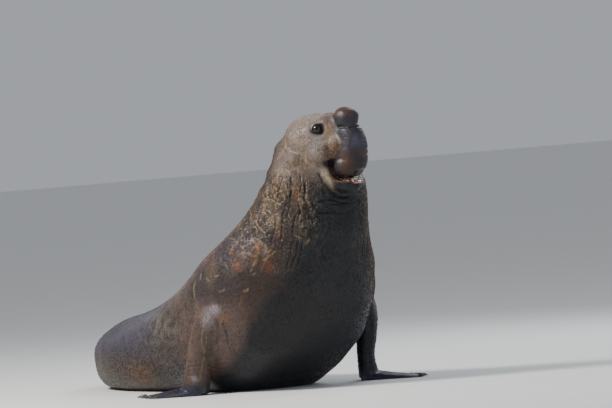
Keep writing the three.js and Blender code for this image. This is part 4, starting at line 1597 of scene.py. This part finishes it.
    def colour_mouth(self, g: Ground, paint: "Paint") -> None:
        """The lining of the mouth, its roof darkened by painted shade, and painted shade in its corners.

        Args:
            g: The skin's measures.
            paint: The layers to add to.
        """
        x, y, _ = g.local.T
        flesh = 1 - g.nose
        half = np.interp(x, (-0.07, 0.06, 0.16, 0.24, 0.28), (0.19, 0.19, 0.16, 0.106, 0.04))
        deep = smoothstep(0.86, 0.70, np.abs(y) / half)
        lining = smoothstep(0.010, 0.002, g.mouth) * flesh
        paint.lay(Tone.LIP_INSIDE, lining * (1 - deep) * g.under)
        # The roof of the mouth is made near black with painted shade.
        paint.lay(Tone.PALATE_IN_SHADE, lining * (1 - g.under))
        paint.lay(Tone.MOUTH_FLOOR, lining * deep * g.under)
        # Painted shade in the corners of the mouth.
        gap = np.linalg.norm(g.local[:, [0, 2]] - [0.085, -0.258], axis=1)
        paint.lay(Tone.MOUTH_CORNER_SHADE, near(gap, 0.03) * flesh * 0.9)

    def colour_lids(self, g: Ground, paint: "Paint") -> None:
        """Black rims of the lids in a greyer ring of skin.

        Args:
            g: The skin's measures.
            paint: The layers to add to.
        """
        for lid in self.lids:
            measure, reach, _ = lid.opening(g.local)
            close = smoothstep(lid.ball * 1.75, lid.ball * 1.4, reach)
            paint.lay(Tone.LID_SKIN, near(measure - 1.6, 0.25) * close * 0.6)
            paint.lay(Tone.LID_RIM, smoothstep(1.45, 1.30, measure) * close)

    def build(self) -> None:
        """Makes the skin and puts it in place of the nodes of flesh."""
        self.grow()
        LOG.info("grown: %d points", len(self.net.points))
        ahead = self.net.points[:, 0] > CHEST[0] - self.fine_behind
        self.refine((self.net.points[:, 2] > self.fine_above) & ahead)
        for reach in self.eye_gaps:
            self.refine(self.eye_gap(to_head(self.net.points)) < reach)
        nose = np.zeros(len(self.net.points))
        local = to_head(self.net.points)
        chosen = np.nonzero((local[:, 0] > 0.03) & (local[:, 2] > -0.47))[0]
        nose[chosen] = [name == "nose" for name in self.owners(chosen)]
        nose = smoothstep(0.25, 0.75, self.net.spread(nose, 3))
        self.shape_lids()
        ground = Ground(self.net, nose)
        self.fold(ground)
        self.settle()
        self.colour(ground)
        self.piece.data.materials.clear()
        self.piece.data.materials.append(HideFinish().material())
        self.piece.data.shade_smooth()
        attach(self.piece, "root")
        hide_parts(*[n for n in NODE_ZONES if not n.startswith("eye")])
        LOG.info("skin: %d points", len(self.net.points))


class Paint:
    """Layers of colour over the points of a surface, in linear light."""

    def __init__(self, count: int, base: tuple[int, int, int]) -> None:
        """Starts from one colour all over."""
        self.tint = np.tile(linear(*base), (count, 1))

    def lay(self, colour: tuple[int, int, int], amount: Array) -> None:
        """Lays a screen colour over what is there, by an amount from 0 to 1."""
        k = np.clip(amount, 0, 1)[:, None]
        self.tint = self.tint * (1 - k) + linear(*colour) * k


@dataclass
class Eyes:
    """The two wet, almost black eyes."""

    lids: list[Lids]
    rings: int = 24
    around: int = 40
    proud: float = 0.05
    cornea: float = 0.45

    def ball(self, lid: Lids) -> tuple[Array, list[tuple[int, ...]], Array]:
        """One eyeball with its cornea standing a little proud.

        Args:
            lid: The lids that it sits in.

        Returns:
            Points, faces and how near each point is to the pupil.
        """
        centre, longways, tall, gaze = lid.frame()
        polar = np.linspace(0, math.pi, self.rings + 1)[1:-1]
        turn = np.linspace(0, 2 * math.pi, self.around, endpoint=False)
        rows, facing = [], []
        for angle in polar:
            bulge = 1 + self.proud * math.exp(-((angle / self.cornea) ** 2))
            ring = math.cos(angle) * gaze + math.sin(angle) * (
                np.cos(turn)[:, None] * longways + np.sin(turn)[:, None] * tall
            )
            rows.append(centre + ring * lid.ball * bulge)
            facing += [math.cos(angle)] * self.around
        front = centre + gaze * lid.ball * (1 + self.proud)
        points = np.concatenate([*rows, [front], [centre - gaze * lid.ball]])
        faces = bands(len(polar), self.around)
        top, bottom = len(points) - 2, len(points) - 1
        end = (len(polar) - 1) * self.around
        for k in range(self.around):
            j = (k + 1) % self.around
            faces.append((top, k, j))
            faces.append((bottom, end + j, end + k))
        return from_head(points), faces, np.array(facing + [1.0, -1.0])

    def material(self) -> bpy.types.Material:
        """Builds the eye's material.

        Returns:
            Near black with a dark brown iris, under a clear wet coat.
        """
        n = Nodes("eye")
        facing = n.attribute("pupil").outputs["Fac"]
        fibre = n.noise(140, 4)
        iris = n.blend(n.ramp(fibre, 0.35, 0.65), (0.006, 0.004, 0.004, 1), (0.022, 0.012, 0.007, 1))
        inner = n.blend(n.ramp(facing, 0.86, 0.90), iris, (0.001, 0.001, 0.001, 1))
        outer = n.blend(n.ramp(facing, 0.50, 0.62), (0.02, 0.013, 0.012, 1), inner)
        n.join(outer, n.shader.inputs["Base Color"])
        n.join(n.ramp(fibre, 0.0, 1.0, (0.05, 0.09)), n.shader.inputs["Roughness"])
        n.shader.inputs["Specular IOR Level"].default_value = 0.35
        n.shader.inputs["Coat Weight"].default_value = 0.25
        n.shader.inputs["Coat Roughness"].default_value = 0.02
        return n.material

    def build(self) -> None:
        """Makes both eyes in place of their nodes."""
        material = self.material()
        for lid in self.lids:
            side = "left" if lid.side > 0 else "right"
            points, faces, facing = self.ball(lid)
            piece = mesh_object("eyeball_" + side, points, faces)
            set_colours(piece, "pupil", np.stack([facing] * 3, 1))
            piece.data.materials.append(material)
            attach(piece, "root")
            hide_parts("eye_" + side)
            LOG.info("%s: %d points", piece.name, len(points))


@dataclass
class Mouth:
    """Tongue, gum and lower teeth, where the open mouth shows them."""

    gum_height: float = -0.411
    ahead: float = 0.246
    step: float = 0.036
    apart: float = 0.044
    widen: float = 0.013
    pairs: int = 4
    canine: tuple[float, float] = (0.036, 0.0125)
    tooth: tuple[float, float] = (0.020, 0.0085)
    gum_sunk: float = 0.008
    gum_radius: float = 0.0125
    tongue_half_width: float = 0.070

    def place(self, side: int, index: float) -> Array:
        """Where a tooth leaves the gum, in the head's frame."""
        x = self.ahead - self.step * index
        return np.array([x, side * (self.apart + self.widen * index), self.gum_height])

    def teeth(self) -> tuple[Array, list[tuple[int, ...]]]:
        """Canines and the small teeth behind them.

        Returns:
            Points and faces.
        """
        parts = []
        for side in (-1, 1):
            for index in range(self.pairs):
                length, radius = self.canine if index == 0 else self.tooth
                root = self.place(side, index)
                t = np.linspace(0, 1, 9)
                path = root + np.stack([-0.25 * length * t**2, 0 * t, length * (t - 0.25)], 1)
                parts.append(tube(from_head(path), radius * np.sqrt(np.clip(1 - t**2, 0.004, 1)), 12))
        return gathered(parts)

    def gum(self) -> tuple[Array, list[tuple[int, ...]]]:
        """The ridge of gum that the teeth stand in.

        Returns:
            Points and faces.
        """
        steps = np.linspace(4.2, -0.4, 26)
        right = np.array([self.place(-1, s) for s in steps])
        left = np.array([self.place(1, s) for s in steps])[::-1]
        path = np.concatenate([right, left])
        path[:, 2] -= self.gum_sunk
        return tube(from_head(path), np.full(len(path), self.gum_radius), 12)

    def tongue(self) -> tuple[Array, list[tuple[int, ...]]]:
        """A thick tongue with a groove down its middle.

        Returns:
            Points and faces.
        """
        t = np.linspace(-0.97, 0.97, 26)
        width = self.tongue_half_width * np.sqrt(1 - t**2)
        path = np.stack([0.12 + 0.125 * t, 0 * t, -0.392 - 0.016 * t - 0.012 * t**2], 1)
        turn = np.linspace(0, 2 * math.pi, 30, endpoint=False)
        rings = []
        for centre, half in zip(path, width):
            across = np.cos(turn) * half
            dip = 1 - 0.28 * np.exp(-((across / 0.016) ** 2)) * (np.sin(turn) > 0)
            tall = np.sin(turn) * half * 0.42 * dip
            rings.append(centre + np.stack([0 * turn, across, tall], 1))
        points = np.concatenate(rings)
        n = len(turn)
        faces = bands(len(t), n)
        faces.append(tuple(range(n)))
        faces.append(tuple(range(len(points) - n, len(points)))[::-1])
        return from_head(points), faces

    def build(self) -> None:
        """Makes the three pieces."""
        ivory = WetFinish("tooth", (0.62, 0.55, 0.40), (0.40, 0.31, 0.18), 0.25, 0.5, 60, 0.001, (1, 1, 0.3))
        gum = WetFinish("gum", (0.50, 0.20, 0.17), (0.30, 0.10, 0.09), 0.3, 0.6, 45, 0.002, subsurface=0.2)
        red, deep_red = (0.48, 0.22, 0.20), (0.30, 0.12, 0.12)
        flesh = WetFinish("tongue", red, deep_red, 0.35, 0.5, 130, 0.003, subsurface=0.2)
        for name, shape, finish in (
            ("lower_teeth", self.teeth(), ivory),
            ("lower_gum", self.gum(), gum),
            ("tongue_flesh", self.tongue(), flesh),
        ):
            piece = mesh_object(name, *shape)
            piece.data.materials.append(finish.material())
            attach(piece, "root")
            LOG.info("%s: %d points", name, len(shape[0]))
        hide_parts("tongue")


@dataclass
class Claws:
    """Five dark claws on each hand, one at the tip of each finger."""

    length: float = 0.056
    radius: float = 0.0105
    hand_length: float = 0.500
    tip_width: float = 0.290
    fingers: int = 5
    heels: dict[str, tuple[float, float, float]] = field(
        default_factory=lambda: {"right": (-0.240, -0.690, -128.0), "left": (0.0, 0.765, 54.0)}
    )
    root_back: float = 0.060
    overlap: float = 0.030
    height: float = 0.0175
    arch: float = 0.004
    droop: float = 0.011

    def reach(self, across: float) -> float:
        """How far a finger reaches, as a share of the hand's length."""
        return 1 - 0.34 * max(0.0, across - 0.3) ** 1.2 - 0.12 * max(0.0, 0.3 - across)

    def claw(self, side: str, finger: int) -> tuple[Array, list[tuple[int, ...]]]:
        """One claw, curving down to the ground.

        Args:
            side: Which hand.
            finger: Counted across the hand.

        Returns:
            Points and faces.
        """
        x, y, degrees = self.heels[side]
        facing = math.radians(degrees)
        ahead = np.array([math.cos(facing), math.sin(facing), 0.0])
        left = np.array([-ahead[1], ahead[0], 0.0])
        across = (finger + 0.5) / self.fingers
        size = 1 - 0.1 * abs(finger - 1)
        root = CHEST + [x, y, 0.0] - ahead * self.root_back
        start = root + ahead * (self.hand_length * self.reach(across) - self.overlap)
        start = start + left * (self.tip_width / 2 * (2 * across - 1)) + [0.0, 0.0, self.height]
        spread = ahead + left * 0.35 * (across - 0.5)
        t = np.linspace(0, 1, 10)
        length = self.length * size
        bend = self.arch * np.sin(math.pi * t) - self.droop * t**2
        path = start + np.outer(t, spread * length) + np.outer(bend, [0, 0, 1])
        return tube(path, self.radius * size * np.sqrt(np.clip(1 - t**2.2, 0.01, 1)), 12)

    def build(self) -> None:
        """Makes the claws of both hands."""
        brown, black = (0.075, 0.060, 0.050), (0.022, 0.017, 0.015)
        horn = WetFinish("claw", brown, black, 0.32, 0.4, 50, 0.002, (1, 1, 0.4))
        material = horn.material()
        for side in self.heels:
            shape = gathered([self.claw(side, k) for k in range(self.fingers)])
            piece = mesh_object("claws_" + side, *shape)
            piece.data.materials.append(material)
            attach(piece, "root")
            LOG.info("%s: %d points", piece.name, len(shape[0]))


@dataclass
class Whiskers:
    """Stiff bristles on the whisker pads and over the eyes."""

    rows: int = 5
    columns: int = 5
    length: float = 0.085
    radius: float = 0.0011
    sunk: float = 0.004
    over_eye: int = 3
    first: tuple[float, float] = (0.055, -0.150)
    column_step: float = 0.022
    row_step: float = 0.021
    stagger: float = 0.006
    brow_height: float = 0.085
    brow_step: float = 0.012
    aside: float = 0.3
    seed: int = 4

    def bristle(self, root: Array, out: Array, length: float) -> tuple[Array, list[tuple[int, ...]]]:
        """One tapering bristle.

        Args:
            root: Where it leaves the skin.
            out: The way it leaves.
            length: How long it is.

        Returns:
            Points and faces.
        """
        t = np.linspace(0, 1, 6)
        path = root + np.outer(t * length, out) + np.outer(-0.25 * length * t**2, [0.4, 0, 1.0])
        return tube(path, self.radius * (1.05 - t), 5)

    def build(self, hide: Hide) -> None:
        """Plants the bristles on the skin.

        Args:
            hide: The skin that they grow from.
        """
        tree = BVHTree.FromObject(hide.piece, bpy.context.evaluated_depsgraph_get())
        rng = np.random.default_rng(self.seed)
        parts = []
        ahead, up = self.first
        for side in (-1, 1):
            spots = [
                np.array([
                    ahead + self.column_step * c + self.stagger * (r % 2),
                    side * self.aside,
                    up - self.row_step * r,
                ])
                for r in range(self.rows)
                for c in range(self.columns)
            ]
            spots += [
                np.array([ahead + self.brow_step * k, side * self.aside, self.brow_height])
                for k in range(self.over_eye)
            ]
            for spot in spots:
                start = from_head(spot)[0]
                aim = from_head(np.array([[0.02, 0.0, spot[2]]]))[0] - start
                hit = tree.ray_cast(Vector(start), Vector(aim).normalized())
                if hit[0] is None:
                    continue
                out = np.array(hit[1]) + 0.3 * rng.normal(size=3) + [0, 0, -0.3]
                out /= np.linalg.norm(out)
                root = np.array(hit[0]) - out * self.sunk
                parts.append(self.bristle(root, out, self.length * rng.uniform(0.45, 1.0)))
        piece = mesh_object("whiskers", *gathered(parts))
        finish = WetFinish("bristle", (0.10, 0.08, 0.06), (0.03, 0.025, 0.02), 0.4, 0.2, 200, 0.0005)
        piece.data.materials.append(finish.material())
        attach(piece, "root")
        LOG.info("whiskers: %d bristles", len(parts))


@dataclass
class Coat:
    """Short flat hair, as small closed locks that lie back over the skin."""

    count: int = 44000
    length: float = 0.017
    width: float = 0.0042
    lift: float = 0.20
    sunk: float = 0.0015
    crown: float = 0.0022
    patch: float = 0.003
    swirl: float = 0.22
    swirl_seeds: tuple[int, int, int] = (201, 202, 203)
    front_seed: int = 11
    rear_seed: int = 12

    def flow(self, points: Array, normals: Array) -> Array:
        """Which way the hair lies: back from the nose along the body, and down the limbs.

        Args:
            points: Roots of the hairs.
            normals: The skin's normals there.

        Returns:
            Unit directions along the skin.
        """
        body = points - CHEST
        rearward = np.tile([-0.75, 0.0, -0.65], (len(points), 1))
        lying = smoothstep(0.0, -0.9, body[:, 0])[:, None]
        rearward = rearward * (1 - lying) + np.array([-1.0, 0.25, -0.2]) * lying
        limb = (smoothstep(0.52, 0.62, np.abs(body[:, 1])) * smoothstep(0.8, 0.6, body[:, 2]))[:, None]
        rearward = rearward * (1 - limb) + np.array([0.0, 0.0, -1.0]) * limb
        swirl = [Noise.value(points, size=0.12, seed=seed) for seed in self.swirl_seeds]
        rearward += self.swirl * np.stack(swirl, 1)
        along = rearward - normals * np.einsum("ij,ij->i", rearward, normals)[:, None]
        return along / np.maximum(np.linalg.norm(along, axis=1, keepdims=True), 1e-6)

    def unwrap(self, points: Array, normals: Array) -> Array:
        """Each root's place on a six-sided unwrap of the skin.

        Args:
            points: Roots.
            normals: The skin's normals there.

        Returns:
            UV coordinates from 0 to 1.
        """
        axis = np.abs(normals).argmax(1)
        sign = np.take_along_axis(normals, axis[:, None], 1)[:, 0] > 0
        low, high = points.min(0), points.max(0)
        share = (points - low) / (high - low)
        first = np.array([1, 0, 0])[axis]
        second = np.array([2, 2, 1])[axis]
        u = np.take_along_axis(share, first[:, None], 1)[:, 0]
        v = np.take_along_axis(share, second[:, None], 1)[:, 0]
        return np.stack([(axis + 0.02 + 0.95 * u) / 3, (sign + 0.02 + 0.95 * v) / 2], 1)

    def roots(
        self, hide: Hide, rng: np.random.Generator, keep: Array, count: int
    ) -> tuple[Array, Array, Array, Array]:
        """Scatters roots over the part of the skin that is kept.

        Args:
            hide: The skin.
            rng: The source of chance.
            keep: A weight for each point of the skin.
            count: How many roots are wanted.

        Returns:
            Places, normals, tints and wear at the roots.
        """
        quads = np.concatenate([g[:, [0, 1, 2, g.shape[1] - 1]] for g in hide.net.groups])
        p = hide.net.points[quads]
        area = np.linalg.norm(np.cross(p[:, 2] - p[:, 0], p[:, 3] - p[:, 1]), axis=1) / 2
        weight = area * keep[quads].mean(1)
        chosen = quads[rng.choice(len(quads), count, p=weight / weight.sum())]
        mix = rng.dirichlet([1.0] * 4, count)[:, :, None]
        normals = hide.net.normals()
        place = (hide.net.points[chosen] * mix).sum(1)
        normal = (normals[chosen] * mix).sum(1)
        normal /= np.linalg.norm(normal, axis=1, keepdims=True)
        return place, normal, (hide.tint[chosen] * mix).sum(1), (hide.wear[chosen] * mix).sum(1)

    def locks(self, name: str, hide: Hide, keep: Array, seed: int) -> None:
        """Makes one piece of coat.

        Args:
            name: The piece's name.
            hide: The skin that it grows from.
            keep: Where it grows, as a weight for each point of the skin.
            seed: Fixes the scatter.
        """
        rng = np.random.default_rng(seed)
        root, normal, tint, wear = self.roots(hide, rng, keep, self.count)
        along = self.flow(root, normal)
        side = np.cross(normal, along)
        length = (self.length * rng.uniform(0.6, 1.25, self.count))[:, None]
        width = (self.width * rng.uniform(0.7, 1.3, self.count))[:, None]
        foot = root - normal * self.sunk
        lifted = self.lift * rng.uniform(0.4, 1.0, (self.count, 1))
        tip = root + along * length + normal * length * lifted
        crown = root + along * length * 0.35 + normal * self.crown
        corners = np.stack([foot + side * width, foot - side * width, crown, tip], 1)
        base = np.arange(self.count)[:, None, None] * 4
        faces = (base + np.array([[0, 2, 1], [0, 3, 2], [1, 2, 3], [0, 1, 3]])).reshape(-1, 3)
        points = corners.reshape(-1, 3)
        points[:, 2] = np.maximum(points[:, 2], 0.0)
        piece = mesh_object(name, points, faces, smooth=False)
        tone = rng.uniform(0.8, 1.18, (self.count, 1))
        set_colours(piece, "tint", np.repeat(np.clip(tint * tone, 0, 1), 4, axis=0))
        set_colours(piece, "wear", np.repeat(wear, 4, axis=0))
        self.lay_uv(piece, self.unwrap(root, normal))
        piece.data.materials.append(HideFinish("coat_hair", 0.05, 0.05).material())
        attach(piece, "root")
        LOG.info("%s: %d locks", name, self.count)

    def lay_uv(self, piece: bpy.types.Object, places: Array) -> None:
        """Gives each lock a small patch of the map at its root's place.

        Args:
            piece: The piece of coat.
            places: The roots' UV coordinates.
        """
        layer = piece.data.uv_layers.new(name="OFBake")
        spread = np.array([[0, 0], [1, 0], [0.5, 0.5], [0.5, 1]]) * self.patch
        loops = np.empty(len(piece.data.loops), dtype=np.int64)
        piece.data.loops.foreach_get("vertex_index", loops)
        uv = places[loops // 4] + spread[loops % 4]
        layer.data.foreach_set("uv", uv.ravel())

    def build(self, hide: Hide) -> None:
        """Makes the coat in pieces, leaving nose, eyes, mouth and soles bare.

        Args:
            hide: The skin that it grows from.
        """
        p = hide.net.points
        local = to_head(p)
        x, _, z = local.T
        bare = smoothstep(0.07, 0.11, x) * smoothstep(-0.47, -0.43, z)
        for lid in hide.lids:
            measure, reach, _ = lid.opening(local)
            bare = np.maximum(bare, (measure < 1.8) & (reach < lid.ball * 2))
        floor = smoothstep(0.02, 0.05, p[:, 2])
        keep = (1 - bare) * floor
        ahead = smoothstep(0.55, 0.95, (p - CHEST)[:, 2])
        self.locks("coat_front", hide, keep * ahead, self.front_seed)
        self.locks("coat_rear", hide, keep * (1 - ahead) + 1e-9, self.rear_seed)


@dataclass(frozen=True)
class Lamp:
    """A soft light: where it stands from the animal in the camera's terms, and what it gives."""

    name: str
    right: float
    back: float
    up: float
    power: float
    size: float
    colour: tuple[float, float, float]


@dataclass
class Studio:
    """A pale floor, soft light from the upper left and the camera."""

    azimuth: float = math.radians(58)
    elevation: float = math.radians(1.64)
    roll: float = math.radians(4)
    distance: float = 60.0
    frame_width: float = 612 * 0.0078
    aim_along: float = 0.248
    aim_height: float = 1.423
    sensor: float = 36.0
    floor_half: float = 60.0
    floor_sunk: float = 0.0005
    sky_strength: float = 0.45
    lamps: tuple[Lamp, ...] = (
        Lamp("key", -6.5, 3.6, 6.5, 1500, 2.4, (1.0, 0.96, 0.90)),
        Lamp("fill", 6.0, 6.0, 3.0, 110, 6.0, (0.86, 0.92, 1.0)),
        Lamp("rim", 4.0, -6.0, 5.0, 260, 4.0, (0.9, 0.95, 1.0)),
    )

    def axes(self) -> tuple[Array, Array, Array]:
        """The camera's right, up and backward directions.

        Returns:
            Three unit vectors.
        """
        a, e, r = self.azimuth, self.elevation, self.roll
        right = np.array([math.cos(a), math.sin(a), 0.0])
        back = np.array([math.sin(a) * math.cos(e), -math.cos(a) * math.cos(e), math.sin(e)])
        up = np.cross(back, right)
        return right * math.cos(r) - up * math.sin(r), right * math.sin(r) + up * math.cos(r), back

    def camera(self) -> None:
        """Places the camera at the photograph's angle."""
        right, up, back = self.axes()
        along = self.aim_along * np.array([math.cos(self.azimuth), math.sin(self.azimuth)])
        aim = CHEST + [*along, self.aim_height]
        data = bpy.data.cameras.new("camera")
        data.sensor_width = self.sensor
        data.lens = self.sensor * self.distance / self.frame_width
        data.clip_start, data.clip_end = 1.0, 400.0
        camera = bpy.data.objects.new("camera", data)
        matrix = Matrix.Identity(4)
        for k, axis in enumerate((right, up, back)):
            matrix.col[k] = (*axis, 0.0)
        matrix.col[3] = (*(aim + back * self.distance), 1.0)
        camera.matrix_world = matrix
        bpy.context.scene.collection.objects.link(camera)
        bpy.context.scene.camera = camera

    def light(self, lamp: Lamp) -> None:
        """An area light that shines on the animal.

        Args:
            lamp: Its place, power, width and colour.
        """
        right, _, back = self.axes()
        toward = right * lamp.right + back * lamp.back + np.array([0, 0, lamp.up])
        data = bpy.data.lights.new(lamp.name, "AREA")
        data.energy, data.size, data.color = lamp.power, lamp.size, lamp.colour
        piece = bpy.data.objects.new(lamp.name, data)
        middle = CHEST + [-0.5, 0.0, 0.9]
        piece.location = Vector(middle + toward)
        piece.rotation_euler = Vector(toward).to_track_quat("Z", "Y").to_euler()
        bpy.context.scene.collection.objects.link(piece)

    def floor(self) -> None:
        """A wide pale floor."""
        half = self.floor_half
        corners = np.array([[-half, -half, 0], [half, -half, 0], [half, half, 0], [-half, half, 0]])
        piece = mesh_object("floor", corners - [0, 0, self.floor_sunk], [(0, 1, 2, 3)], smooth=False)
        n = Nodes("floor")
        pale = n.blend(n.noise(3.0, 3), (0.74, 0.74, 0.73, 1), (0.80, 0.80, 0.79, 1))
        n.join(pale, n.shader.inputs["Base Color"])
        n.shader.inputs["Roughness"].default_value = 0.75
        piece.data.materials.append(n.material)

    def build(self) -> None:
        """Sets up the whole studio."""
        self.camera()
        self.floor()
        for lamp in self.lamps:
            self.light(lamp)
        world = bpy.data.worlds.new("studio")
        world.use_nodes = True
        sky = world.node_tree.nodes["Background"]
        sky.inputs["Color"].default_value = (0.86, 0.90, 0.96, 1)
        sky.inputs["Strength"].default_value = self.sky_strength
        bpy.context.scene.world = world


def main() -> None:
    """Builds the animal and its studio."""
    logging.basicConfig(level=logging.INFO, format="%(name)s %(message)s")
    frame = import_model()
    PACKED.update(frame["nodes"])
    Studio().build()
    hide = Hide()
    hide.build()
    Eyes(hide.lids).build()
    Mouth().build()
    Claws().build()
    Whiskers().build(hide)
    Coat().build(hide)
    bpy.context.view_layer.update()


if __name__ == "__main__":
    main()
